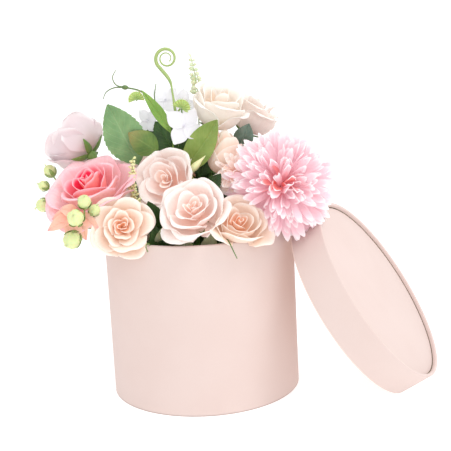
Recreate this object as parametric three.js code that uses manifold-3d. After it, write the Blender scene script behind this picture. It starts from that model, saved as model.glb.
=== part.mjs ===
// A round florist's flower box: a paper-covered tube with a lift-out insert of foam and artificial
// flowers, and its lid leaning against it. Millimetres, +Z up, +X right and -Y to the front.
// The origin is the centre of the base's underside.
import * as THREE from "three";
import { mergeVertices } from "three/addons/utils/BufferGeometryUtils.js";
import Module from "manifold-3d";

const wasm = await Module();
wasm.setup();

// ---------------------------------------------------------------- driving dimensions
const BOX_RADIUS = 80;
const BOX_HEIGHT = 141.4;
const GAP = 0.3; // between pieces that touch on the real box
const PAPER = 0.4;
const TUBE_WALL = 2.2;
const LINING_TOP = BOX_HEIGHT - 14;
const BASE_BOARD = 2.5;

const LID_RADIUS = 83.4;
const LID_HEIGHT = 30.2;
const LID_WALL = 1.4;
const LID_RECESS = 3.6; // the top board lies this far below the lid's upper edge
const LID_BOARD = 2.2;
const LID_EDGE_STEP = 1.2; // the wrap stops this far above the ring's open edge
const LID_ELEVATION = THREE.MathUtils.degToRad(33.5); // of the lid's axis above the table
const LID_AZIMUTH = THREE.MathUtils.degToRad(-17.5);
const LID_CENTRE = [125.2, -21]; // of the open edge, in plan

const LINER_RADIUS = 75.4;
const LINER_WALL = 0.9;
const LINER_FLOOR = 1.2;
const LINER_HEIGHT = 112;
const FOAM_TOP = 116;
const STEM_DEPTH = 34; // how far a stem is pushed into the foam
const STEM_RADIUS = 1.5;
const HOLE_CLEARANCE = 0.4;
const HOLE_CORNERS = 1.16; // a six-sided hole's corners, so that its sides clear the stem

const PRESSED = 0.6; // between petals that press on each other

const RING_STEPS = 40;
const BLOOM_STEPS = 12;
const STEM_SIDES = 6;
const STALK_SIDES = 5;

const COLOUR = {
  cover: 0xf3cfc2,
  lining: 0xf6ddd2,
  board: 0xb9a78f,
  liner: 0xe8e6df,
  foam: 0x5b7a45,
  stem: 0x5c8a43,
  leaf: 0x5f8f4f,
  cream: 0xf7dcc6,
  blush: 0xf8d9d4,
  pink: 0xf28aa0,
  mauve: 0xe6d3d2,
  mum: 0xf7b3c6,
  berry: 0xbfd08a,
  floret: 0xf3f1f5,
};

// ---------------------------------------------------------------- helpers
const vec = (p) => new THREE.Vector3(...p);

function solidOf(geometry) {
  const flat = geometry.index ? geometry.toNonIndexed() : geometry.clone();
  const bare = new THREE.BufferGeometry().setAttribute("position", flat.getAttribute("position"));
  const merged = mergeVertices(bare, 1e-3);
  return new wasm.Manifold(
    new wasm.Mesh({
      numProp: 3,
      vertProperties: merged.attributes.position.array,
      triVerts: new Uint32Array(merged.index.array),
    }),
  );
}

function geometryOf(solid) {
  const mesh = solid.getMesh();
  const points = new Float32Array(mesh.numVert * 3);
  for (let i = 0; i < mesh.numVert; i++) {
    const from = i * mesh.numProp;
    points.set(mesh.vertProperties.subarray(from, from + 3), i * 3);
  }
  const geometry = new THREE.BufferGeometry();
  geometry.setAttribute("position", new THREE.BufferAttribute(points, 3));
  geometry.setIndex(new THREE.BufferAttribute(new Uint32Array(mesh.triVerts), 1));
  geometry.computeVertexNormals();
  return geometry;
}

const joined = (solids) => solids.reduce((all, next) => all.add(next));

// The largest of the bodies that a cut leaves.
const largest = (solid) => solid.decompose().sort((a, b) => b.volume() - a.volume())[0];

function meshOf(name, geometry, colour, roughness = 0.85) {
  const material = new THREE.MeshStandardMaterial({ color: colour, roughness, metalness: 0 });
  const mesh = new THREE.Mesh(geometry, material);
  mesh.name = name;
  return mesh;
}

// A solid turned about +Z. The profile's points are [radius, height], and it closes on itself or
// on the axis.
function turned(profile, steps = RING_STEPS) {
  const onAxis = profile[0][0] === 0;
  const points = profile.map(([r, z]) => new THREE.Vector2(r, z));
  if (!onAxis) points.push(points[0].clone());
  const geometry = new THREE.LatheGeometry(points, steps);
  geometry.rotateX(Math.PI / 2);
  return geometry;
}

const ringProfile = (inner, outer, low, high) => [
  [inner, low],
  [outer, low],
  [outer, high],
  [inner, high],
];
const discProfile = (radius, low, high) => [
  [0, low],
  [radius, low],
  [radius, high],
  [0, high],
];

// A round rod along a curve.
function rod(curve, radius, steps, sides = STALK_SIDES) {
  const section = new THREE.Shape();
  for (let i = 0; i < sides; i++) {
    const angle = (i / sides) * Math.PI * 2;
    const corner = [Math.cos(angle) * radius, Math.sin(angle) * radius];
    if (i === 0) section.moveTo(...corner);
    else section.lineTo(...corner);
  }
  section.closePath();
  const options = { steps, bevelEnabled: false, extrudePath: curve };
  return solidOf(new THREE.ExtrudeGeometry(section, options));
}

const smooth = (points) => new THREE.CatmullRomCurve3(points, false, "centripetal");

// Carries a shape modelled about +Z to a place, with its +Z turned to a direction.
function placed(geometry, at, direction) {
  const turn = new THREE.Quaternion().setFromUnitVectors(vec([0, 0, 1]), vec(direction).normalize());
  return geometry.applyQuaternion(turn).translate(...at);
}

// ---------------------------------------------------------------- the box
const wallOuter = BOX_RADIUS - PAPER - GAP;
const wallInner = wallOuter - TUBE_WALL;
const insideRadius = wallInner - GAP - PAPER;
const basePaperTop = PAPER;
const tubeLow = basePaperTop + GAP;
const boardLow = tubeLow;
const boardHigh = boardLow + BASE_BOARD;

function boxMeshes() {
  const tubeHigh = BOX_HEIGHT - PAPER - GAP;
  const turnIn = 12; // how far the cover paper is folded down inside the mouth
  const wrap = [
    [BOX_RADIUS, tubeLow],
    [BOX_RADIUS, BOX_HEIGHT],
    [insideRadius, BOX_HEIGHT],
    [insideRadius, BOX_HEIGHT - turnIn],
    [insideRadius + PAPER, BOX_HEIGHT - turnIn],
    [insideRadius + PAPER, BOX_HEIGHT - PAPER],
    [BOX_RADIUS - PAPER, BOX_HEIGHT - PAPER],
    [BOX_RADIUS - PAPER, tubeLow],
  ];
  const liningOuter = wallInner - GAP;
  const parts = [
    ["body_tube", turned(ringProfile(wallInner, wallOuter, tubeLow, tubeHigh)), COLOUR.board],
    ["body_wrap", turned(wrap), COLOUR.cover],
    [
      "body_lining",
      turned(ringProfile(insideRadius, liningOuter, boardHigh + GAP, LINING_TOP)),
      COLOUR.lining,
    ],
    ["base_board", turned(discProfile(wallInner - GAP, boardLow, boardHigh)), COLOUR.board],
    ["base_paper", turned(discProfile(BOX_RADIUS, 0, basePaperTop)), COLOUR.cover],
  ];
  return parts.map(([name, geometry, colour]) => meshOf(name, geometry, colour));
}

// ---------------------------------------------------------------- the lid, about its own axis
const ringOuter = LID_RADIUS - PAPER - GAP;

// Tilts the lid's axis and stands the ring's open edge on the table.
function lidPose() {
  const turn = new THREE.Euler(0, Math.PI / 2 - LID_ELEVATION, LID_AZIMUTH, "ZYX");
  const pose = new THREE.Matrix4().makeRotationFromEuler(turn);
  return pose.setPosition(...LID_CENTRE, ringOuter * Math.cos(LID_ELEVATION));
}

function lidGroup() {
  const ringInner = ringOuter - LID_WALL;
  const liningOuter = ringInner - GAP;
  const ringHigh = LID_HEIGHT - PAPER - GAP;
  const boardTop = LID_HEIGHT - LID_RECESS - PAPER - GAP;
  const boardLowFace = boardTop - LID_BOARD;
  const turnedIn = liningOuter - PAPER;
  const foldEnd = boardTop + PAPER + 2 * GAP;
  const wrap = [
    [LID_RADIUS, LID_EDGE_STEP],
    [LID_RADIUS, LID_HEIGHT],
    [turnedIn, LID_HEIGHT],
    [turnedIn, foldEnd],
    [turnedIn + PAPER, foldEnd],
    [turnedIn + PAPER, LID_HEIGHT - PAPER],
    [LID_RADIUS - PAPER, LID_HEIGHT - PAPER],
    [LID_RADIUS - PAPER, LID_EDGE_STEP],
  ];
  const liningHigh = boardLowFace - GAP;
  const underHigh = boardLowFace - GAP;
  const underRadius = liningOuter - PAPER - GAP;
  const parts = [
    ["lid_ring", turned(ringProfile(ringInner, ringOuter, 0, ringHigh)), COLOUR.board],
    ["lid_wrap", turned(wrap), COLOUR.cover],
    [
      "lid_lining",
      turned(ringProfile(liningOuter - PAPER, liningOuter, LID_EDGE_STEP, liningHigh)),
      COLOUR.lining,
    ],
    ["lid_board", turned(discProfile(liningOuter, boardLowFace, boardTop)), COLOUR.board],
    [
      "lid_top_paper",
      turned(discProfile(turnedIn - 2 * GAP, boardTop + GAP, boardTop + GAP + PAPER)),
      COLOUR.cover,
    ],
    [
      "lid_under_paper",
      turned(discProfile(underRadius, underHigh - PAPER, underHigh)),
      COLOUR.lining,
    ],
  ];
  const group = new THREE.Group();
  for (const [name, geometry, colour] of parts) group.add(meshOf(name, geometry, colour));
  group.applyMatrix4(lidPose());
  return group;
}

// ---------------------------------------------------------------- the flowers
// Each bloom has its centre, radius, the way it opens and its stem's place in the foam. A stem that
// leans over the mouth's edge goes by way of a point above that edge.
const bloom = (name, at, radius, opens, foot, colour, via) => ({
  name,
  at,
  radius,
  opens,
  foot,
  colour,
  via,
});
const MUMS = [
  bloom("mum_large", [65.5, -44, 179.5], 44.5, [0.06, -0.93, 0.36], [38, -14], COLOUR.mum),
  bloom("mum_small", [35, -25, 188.5], 18, [0.1, -0.95, 0.25], [24, -6], COLOUR.cream),
];
const ROSES = [
  bloom("rose_pink", [-87, -30, 187], 33, [-0.36, -0.26, 0.9], [-46, -12], COLOUR.pink),
  bloom("rose_front_right", [34, -69, 154], 23.5, [0.05, -0.8, 0.6], [16, -40], COLOUR.cream),
  bloom("rose_front_centre", [-2, -68, 169], 26.5, [-0.08, -0.93, 0.35], [-4, -30], COLOUR.blush),
  bloom("rose_front_left", [-60.5, -71, 156.5], 26, [0.08, -0.92, 0.38], [-34, -30], COLOUR.cream),
  bloom("rose_centre", [-27, -22, 194.5], 26, [-0.15, -0.85, 0.5], [-16, -10], COLOUR.blush),
  bloom("rose_back_left", [-103, 24, 214], 23.5, [-0.7, 0.45, 0.5], [-50, 12], COLOUR.mauve, [-64, 16, 158]),
  bloom("rose_top", [22, 6, 241], 22.5, [-0.05, -0.35, 0.93], [12, 18], COLOUR.cream),
  bloom("rose_top_right", [51.5, 30, 226], 19, [0.5, 0.3, 0.75], [32, 22], COLOUR.mauve),
  bloom("rose_bud", [24, -9, 203], 19.5, [0, -0.2, 0.97], [12, 2], COLOUR.cream),
  bloom("rose_rear_left", [-58, 46, 184], 26, [-0.5, 0.62, 0.6], [-34, 30], COLOUR.blush),
  bloom("rose_rear_centre", [2, 62, 182], 27, [0.05, 0.8, 0.6], [2, 46], COLOUR.cream),
  bloom("rose_rear_right", [62, 44, 176], 26, [0.6, 0.6, 0.52], [38, 38], COLOUR.blush),
];

// Profiles in shares of a bloom's radius, from the stem's end to the open face: [radius, height].
const ROSE_PROFILE = [
  [0, -0.8],
  [0.3, -0.77],
  [0.74, -0.42],
  [1, 0.08],
  [0.92, 0.36],
  [0.5, 0.42],
  [0, 0.34],
];
const MUM_PROFILE = [
  [0, -0.5],
  [0.62, -0.58],
  [0.92, -0.36],
  [1, 0],
  [0.9, 0.42],
  [0.62, 0.76],
  [0.3, 0.95],
  [0, 1],
];
const ROSE_BACK = 0.8; // from a bloom's centre to its stem's end, in radii
const MUM_BACK = 0.55;

const grown = (profile, radius, by) =>
  profile.map(([r, z]) => [r === 0 ? 0 : r * radius + by, z * radius + Math.sign(z) * by]);

function bloomSolid(flower, profile, by = 0) {
  const shape = turned(grown(profile, flower.radius, by), BLOOM_STEPS);
  return solidOf(placed(shape, flower.at, flower.opens));
}

// Straight down in the foam, then on through the given points.
function stemCurve(foot, points) {
  const levels = [FOAM_TOP - STEM_DEPTH, FOAM_TOP - 1, FOAM_TOP + 2];
  return smooth([...levels.map((z) => vec([...foot, z])), ...points]);
}

function flowerStem(flower, backShare) {
  const out = vec(flower.opens).normalize();
  const cupLength = 6;
  const back = vec(flower.at).addScaledVector(out, -flower.radius * backShare - GAP - 0.4);
  const end = back.clone().addScaledVector(out, -cupLength / 2);
  const near = end.clone().addScaledVector(out, -7);
  const cup = turned(
    [
      [0, -cupLength],
      [1.8, -cupLength],
      [4, -2.4],
      [4.4, 0],
      [0, 0],
    ],
    8,
  );
  const way = flower.via ? vec(flower.via) : vec([...flower.foot, FOAM_TOP]).lerp(near, 0.5);
  const stem = rod(stemCurve(flower.foot, [way, near, end]), STEM_RADIUS, 14, STEM_SIDES);
  return stem.add(solidOf(placed(cup, back.toArray(), flower.opens)));
}

// The box's upper wall with a little air round it.
function wallKeepOut() {
  const air = 0.6;
  const low = BOX_HEIGHT - 40;
  return solidOf(turned(ringProfile(insideRadius - air, BOX_RADIUS + air, low, BOX_HEIGHT + air)));
}

// The lid as a full disc with a little air round it.
function lidKeepOut() {
  const air = 0.6;
  const shape = turned(discProfile(LID_RADIUS + air, -air, LID_HEIGHT + air));
  return solidOf(shape.applyMatrix4(lidPose()));
}

// ---------------------------------------------------------------- leaves
// A leaf's blade runs from base to tip and faces the way of its normal; its stalk goes into the foam.
const leaf = (name, base, tip, width, normal, cup, arch, foot) => ({
  name,
  base,
  tip,
  width,
  normal,
  cup,
  arch,
  foot,
});
const LEAVES = [
  leaf("leaf_large_left", [-51, -2, 204], [-70, 2, 246], 29, [0.1, -1, 0.1], 0.12, 5, [-40, 8]),
  leaf("leaf_dark_left", [-30, 10, 213], [-54, 2, 226], 15, [0, -0.8, 0.6], -0.2, 3, [-34, 20]),
  leaf("leaf_upright", [-3, -12, 199], [20, -35, 232], 18, [-0.2, -0.9, 0.3], 0.16, -4, [0, -12]),
  leaf("leaf_dark_centre", [-15, 4, 208], [-27, 0, 233], 13, [0.2, -1, 0.1], 0.15, 2, [-14, 4]),
  leaf("leaf_dark_right", [6, -34, 172], [21, -38, 190], 14, [0.2, -1, 0.2], 0.1, 2, [6, -20]),
  leaf("leaf_blue", [38, 12, 203], [47, 8, 223], 17, [0, -1, 0.2], 0.1, 2, [24, 10]),
  leaf("leaf_front_left", [-30, -50, 136], [-26, -64, 155], 12, [0.2, -1, 0.2], 0.1, 2, [-20, -42]),
  leaf("leaf_front_centre", [-13, -58, 128], [-8, -66, 146], 16, [0, -1, 0.2], 0.1, 1.5, [-10, -50]),
  leaf("leaf_front_right", [8, -58, 129], [11, -66, 147], 14, [0, -1, 0.3], 0.1, 1.5, [4, -54]),
  leaf("leaf_twisted", [-20, 26, 232], [-42, 24, 255], 8, [0.4, -1, 0.3], 0.2, 3, [-18, 30]),
  leaf("leaf_rear_left", [-30, 58, 150], [-40, 84, 176], 24, [-0.3, 0.8, -0.3], 0.1, -4, [-18, 50]),
  leaf("leaf_rear_right", [36, 62, 148], [48, 84, 170], 24, [0.4, 0.8, -0.4], 0.1, -4, [22, 54]),
];
const LEAF_THICKNESS = 0.9;
const TIP_WIDTH = 0.04; // of the blade's width

function leafSolid({ base, tip, width, normal, cup, arch, foot }) {
  const root = vec(base);
  const along = vec(tip).sub(root);
  const across = vec(normal).cross(along).normalize();
  const up = along.clone().cross(across).normalize();
  const blade = new THREE.BoxGeometry(1, 1, 1, 2, 1, 6);
  const corners = blade.getAttribute("position");
  for (let i = 0; i < corners.count; i++) {
    const u = corners.getZ(i) + 0.5;
    const side = corners.getX(i) * 2;
    const half = (width / 2) * Math.max(TIP_WIDTH, Math.sin(Math.PI * u ** 0.85) ** 0.8);
    const bend = arch * Math.sin(Math.PI * u) + cup * Math.abs(side) * half;
    const point = root
      .clone()
      .addScaledVector(along, u)
      .addScaledVector(across, side * half)
      .addScaledVector(up, bend + corners.getY(i) * LEAF_THICKNESS);
    corners.setXYZ(i, point.x, point.y, point.z);
  }
  const end = root.clone().addScaledVector(along.clone().normalize(), 3);
  const stalk = rod(stemCurve(foot, [vec([...foot, FOAM_TOP]).lerp(root, 0.6), root, end]), 0.9, 10);
  return stalk.add(solidOf(blade));
}

// ---------------------------------------------------------------- sprays and tendrils
const BERRY_SPRAYS = [
  {
    name: "berry_spray_upper",
    foot: [-60, 4],
    way: [-76, 6, 152],
    fork: [-108, 6, 170],
    berries: [
      [-129, 6, 179.5, 4.2],
      [-124, 14, 190.5, 5],
      [-129, -4, 165, 5.6],
    ],
  },
  {
    name: "berry_spray_lower",
    foot: [-50, -24],
    way: [-72, -40, 148],
    fork: [-89, -58, 156],
    berries: [
      [-85, -76, 180, 5.2],
      [-92, -80, 168.5, 6.6],
      [-79, -66, 171, 4.4],
      [-97, -73, 150, 6.8],
    ],
  },
];

function berrySpray({ foot, way, fork, berries }) {
  const start = vec(fork);
  const solids = [rod(stemCurve(foot, [vec(way), start]), 1, 12)];
  for (const [x, y, z, radius] of berries) {
    const centre = vec([x, y, z]);
    const out = centre.clone().sub(start);
    const bend = start.clone().addScaledVector(out, 0.5).add(vec([0, 0, -2]));
    solids.push(rod(smooth([start, bend, centre]), 0.8, 4));
    const berry = turned(
      [
        [0, -1.1],
        [0.7, -0.75],
        [1, 0],
        [0.7, 0.8],
        [0, 1.25],
      ].map(([r, h]) => [r * radius, h * radius]),
      8,
    );
    solids.push(solidOf(placed(berry, centre.toArray(), out.toArray())));
  }
  return joined(solids);
}

const FLORETS = {
  foot: [-4, 10],
  hub: [-10, 12, 222],
  heads: [
    { at: [-5, -6, 229], radius: 11, faces: [0, -0.95, 0.3] },
    { at: [-22, 8, 246], radius: 10, faces: [0.1, -0.9, 0.4] },
    { at: [-36, 12, 236], radius: 8, faces: [-0.4, -0.85, 0.3] },
    { at: [-12, 28, 236], radius: 10, faces: [-0.1, 0.7, 0.7] },
  ],
};

function floretSpray() {
  const hub = vec(FLORETS.hub);
  const solids = [rod(stemCurve(FLORETS.foot, [vec([-6, 11, 180]), hub]), 1, 10)];
  for (const head of FLORETS.heads) {
    const outline = new THREE.Shape();
    const steps = 20;
    for (let i = 0; i < steps; i++) {
      const angle = (i / steps) * Math.PI * 2;
      const r = head.radius * (0.72 + 0.28 * Math.cos(4 * angle));
      const point = [Math.cos(angle) * r, Math.sin(angle) * r];
      if (i === 0) outline.moveTo(...point);
      else outline.lineTo(...point);
    }
    outline.closePath();
    const petals = new THREE.ExtrudeGeometry(outline, { depth: 1.6, bevelEnabled: false });
    petals.translate(0, 0, -0.8);
    solids.push(solidOf(placed(petals, head.at, head.faces)));
    const end = vec(head.at);
    solids.push(rod(smooth([hub, hub.clone().lerp(end, 0.5), end]), 0.8, 3));
  }
  return joined(solids);
}

// A young fern: a stalk that ends in a flat spiral.
const FERN = {
  foot: [-8, 22],
  way: [
    [-11, 21, 190],
    [-14, 19, 230],
    [-14.5, 18, 250],
    [-18, 18, 262],
  ],
  centre: [-19.5, 18, 280],
  outer: 9.4,
  inner: 3.6,
  turns: 1.65,
  start: 232,
  radius: 1.3,
};

function fernCurl() {
  const points = FERN.way.map(vec);
  const steps = 22;
  for (let i = 0; i <= steps; i++) {
    const t = i / steps;
    const angle = THREE.MathUtils.degToRad(FERN.start - 360 * FERN.turns * t);
    const radius = THREE.MathUtils.lerp(FERN.outer, FERN.inner, t);
    const [x, y, z] = FERN.centre;
    points.push(vec([x + Math.cos(angle) * radius, y, z + Math.sin(angle) * radius]));
  }
  return rod(stemCurve(FERN.foot, points), FERN.radius, 48);
}

// A pea vine that leans to the left and splits into two thin tendrils.
const VINE = {
  foot: [-26, 12],
  way: [
    [-25, 12, 206],
    [-24, 4, 226],
    [-31, 0, 247],
    [-42, -1, 256],
    [-54, -2, 259.5],
  ],
  tendrils: [
    [
      [-61, -3, 262],
      [-63.5, -3, 268],
      [-60.5, -2, 274],
    ],
    [
      [-63, -1, 259.5],
      [-70, 1, 256],
      [-73, 2, 250.5],
    ],
  ],
};

function peaTendril() {
  const knot = VINE.way.at(-1);
  const solids = [rod(stemCurve(VINE.foot, VINE.way.map(vec)), 1, 20)];
  for (const route of VINE.tendrils) solids.push(rod(smooth([knot, ...route].map(vec)), 0.7, 8));
  solids.push(solidOf(new THREE.IcosahedronGeometry(2.2, 0).translate(...knot)));
  return joined(solids);
}

// A thin sprig with pairs of small buds.
const SPRIG = { foot: [4, 32], way: [4, 29, 205], lowest: [5, 22, 252], top: [1, 18, 281], pairs: 4 };

function budSprig() {
  const lowest = vec(SPRIG.lowest);
  const top = vec(SPRIG.top);
  const solids = [rod(stemCurve(SPRIG.foot, [vec(SPRIG.way), lowest, top]), 0.8, 12)];
  for (let i = 0; i < SPRIG.pairs; i++) {
    const level = lowest.clone().lerp(top, (i + 0.5) / SPRIG.pairs);
    for (const side of [-1, 1]) {
      const bud = new THREE.IcosahedronGeometry(2.6, 0);
      bud.translate(level.x + side * 2.2, level.y, level.z + side);
      solids.push(solidOf(bud));
    }
  }
  return joined(solids);
}

// ---------------------------------------------------------------- the insert: liner, foam and flowers
const linerLow = boardHigh + GAP;
const linerTaper = 3;

function linerGeometry() {
  const high = linerLow + LINER_HEIGHT;
  const inner = LINER_RADIUS - LINER_WALL;
  return turned([
    [0, linerLow],
    [LINER_RADIUS - linerTaper, linerLow],
    [LINER_RADIUS, high],
    [inner, high],
    [inner - linerTaper, linerLow + LINER_FLOOR],
    [0, linerLow + LINER_FLOOR],
  ]);
}

function foamSolid(feet) {
  const low = linerLow + LINER_FLOOR + GAP;
  const radius = LINER_RADIUS - LINER_WALL - 2 * GAP;
  let foam = solidOf(
    turned([
      [0, low],
      [radius - linerTaper, low],
      [radius, FOAM_TOP - 3],
      [radius - 3, FOAM_TOP],
      [0, FOAM_TOP],
    ]),
  );
  for (const [x, y, r] of feet) {
    const floor = FOAM_TOP - STEM_DEPTH - HOLE_CLEARANCE;
    const hole = turned(discProfile((r + HOLE_CLEARANCE) * HOLE_CORNERS, floor, FOAM_TOP + 1), 6);
    foam = foam.subtract(solidOf(hole.translate(x, y, 0)));
  }
  return foam;
}

function insertMeshes() {
  const meshes = [meshOf("liner_pot", linerGeometry(), COLOUR.liner, 0.4)];
  const feet = [];
  const solids = [];
  const taken = [wallKeepOut(), lidKeepOut()];
  const clear = (solid) => largest(taken.reduce((left, other) => left.subtract(other), solid));
  const flowers = [
    ...MUMS.map((flower) => [flower, MUM_PROFILE, MUM_BACK]),
    ...ROSES.map((flower) => [flower, ROSE_PROFILE, ROSE_BACK]),
  ];
  for (const [flower, profile, back] of flowers) {
    solids.push([`${flower.name}_bloom`, clear(bloomSolid(flower, profile)), flower.colour]);
    taken.push(bloomSolid(flower, profile, PRESSED));
    solids.push([`${flower.name}_stem`, flowerStem(flower, back), COLOUR.stem]);
    feet.push([...flower.foot, STEM_RADIUS]);
  }
  for (const each of LEAVES) {
    solids.push([each.name, clear(leafSolid(each)), COLOUR.leaf]);
    feet.push([...each.foot, 1]);
  }
  for (const spray of BERRY_SPRAYS) {
    solids.push([spray.name, clear(berrySpray(spray)), COLOUR.berry]);
    feet.push([...spray.foot, 1]);
  }
  solids.push(["floret_spray", clear(floretSpray()), COLOUR.floret]);
  solids.push(["fern_curl", fernCurl(), COLOUR.leaf]);
  solids.push(["pea_tendril", peaTendril(), COLOUR.leaf]);
  solids.push(["bud_sprig", budSprig(), COLOUR.berry]);
  feet.push([...FLORETS.foot, 1], [...FERN.foot, FERN.radius], [...VINE.foot, 1], [...SPRIG.foot, 1]);
  solids.push(["foam_block", foamSolid(feet), COLOUR.foam]);
  for (const [name, solid, colour] of solids) meshes.push(meshOf(name, geometryOf(solid), colour));
  return meshes;
}

// ---------------------------------------------------------------- assembly
const flowerBox = new THREE.Group();
flowerBox.name = "flower_box";
flowerBox.add(...boxMeshes(), lidGroup(), ...insertMeshes());

export default flowerBox;
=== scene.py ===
import math

import bpy
import numpy as np
from mathutils import Matrix


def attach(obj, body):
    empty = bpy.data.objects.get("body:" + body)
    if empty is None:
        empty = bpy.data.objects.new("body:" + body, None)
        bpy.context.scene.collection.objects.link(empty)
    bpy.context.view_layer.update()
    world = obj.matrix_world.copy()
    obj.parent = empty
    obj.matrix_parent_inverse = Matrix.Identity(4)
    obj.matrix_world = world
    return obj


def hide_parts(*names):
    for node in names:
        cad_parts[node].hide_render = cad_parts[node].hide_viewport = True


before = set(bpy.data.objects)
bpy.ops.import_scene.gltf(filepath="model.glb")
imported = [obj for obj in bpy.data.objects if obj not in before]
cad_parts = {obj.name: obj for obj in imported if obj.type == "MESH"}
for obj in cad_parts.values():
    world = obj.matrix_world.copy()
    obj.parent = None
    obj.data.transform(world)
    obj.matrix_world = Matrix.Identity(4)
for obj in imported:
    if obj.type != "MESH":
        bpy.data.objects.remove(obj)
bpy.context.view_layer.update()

# Looks for the round flower box: papers, foam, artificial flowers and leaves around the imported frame.
# Lengths are in millimetres until make_object() turns them into metres. A bloom is modelled about +Z,
# the way it opens, in shares of its radius.

MM = 0.001
PAPER = 0.4
PETAL_THICKNESS = 0.35
LEAF_THICKNESS = 0.4
FOAM_TOP = 116.0
STEM_DEPTH = 34.0
GOLDEN_TURN = 2.39996  # each of a spiral's pieces turns this far past the last
OUTER_SIDE = 2  # added to a petal's layer on its outer side


# ---------------------------------------------------------------- numbers and vectors
def unit(v):
    v = np.asarray(v, float)
    return v / np.linalg.norm(v)


def smoothstep(low, high, x):
    t = np.clip((x - low) / (high - low), 0, 1)
    return t * t * (3 - 2 * t)


def turn_to(direction):
    """Rotation that takes +Z to the direction by the shortest way."""
    z = unit(direction)
    axis = np.cross([0, 0, 1], z)
    sine, cosine = np.linalg.norm(axis), z[2]
    if sine < 1e-9:
        return np.eye(3) if cosine > 0 else np.diag([1.0, -1.0, -1.0])
    x, y, w = axis / sine
    k = np.array([[0, -w, y], [w, 0, -x], [-y, x, 0]])
    return np.eye(3) + sine * k + (1 - cosine) * k @ k


def smooth_path(points, count):
    """A centripetal Catmull-Rom curve through the points, sampled evenly by length."""
    p = np.asarray(points, float)
    p = np.vstack([2 * p[0] - p[1], p, 2 * p[-1] - p[-2]])
    knots = np.concatenate([[0], np.cumsum(np.linalg.norm(np.diff(p, axis=0), axis=1) ** 0.5)])
    samples = []
    for i in range(1, len(p) - 2):
        t0, t1, t2, t3 = knots[i - 1 : i + 3]
        t = np.linspace(t1, t2, 24, endpoint=False)[:, None]
        a1 = ((t1 - t) * p[i - 1] + (t - t0) * p[i]) / (t1 - t0)
        a2 = ((t2 - t) * p[i] + (t - t1) * p[i + 1]) / (t2 - t1)
        a3 = ((t3 - t) * p[i + 1] + (t - t2) * p[i + 2]) / (t3 - t2)
        b1 = ((t2 - t) * a1 + (t - t0) * a2) / (t2 - t0)
        b2 = ((t3 - t) * a2 + (t - t1) * a3) / (t3 - t1)
        samples.append(((t2 - t) * b1 + (t - t1) * b2) / (t2 - t1))
    fine = np.vstack([*samples, p[-2][None]])
    lengths = np.concatenate([[0], np.cumsum(np.linalg.norm(np.diff(fine, axis=0), axis=1))])
    at = np.linspace(0, lengths[-1], count)
    return np.stack([np.interp(at, lengths, fine[:, k]) for k in range(3)], axis=1)


def grid(rows, columns):
    """v from 0 at the root to 1 down the rows, and u from -1 to 1 across the columns."""
    return np.meshgrid(np.linspace(0, 1, rows), np.linspace(-1, 1, columns), indexing="ij")


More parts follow.
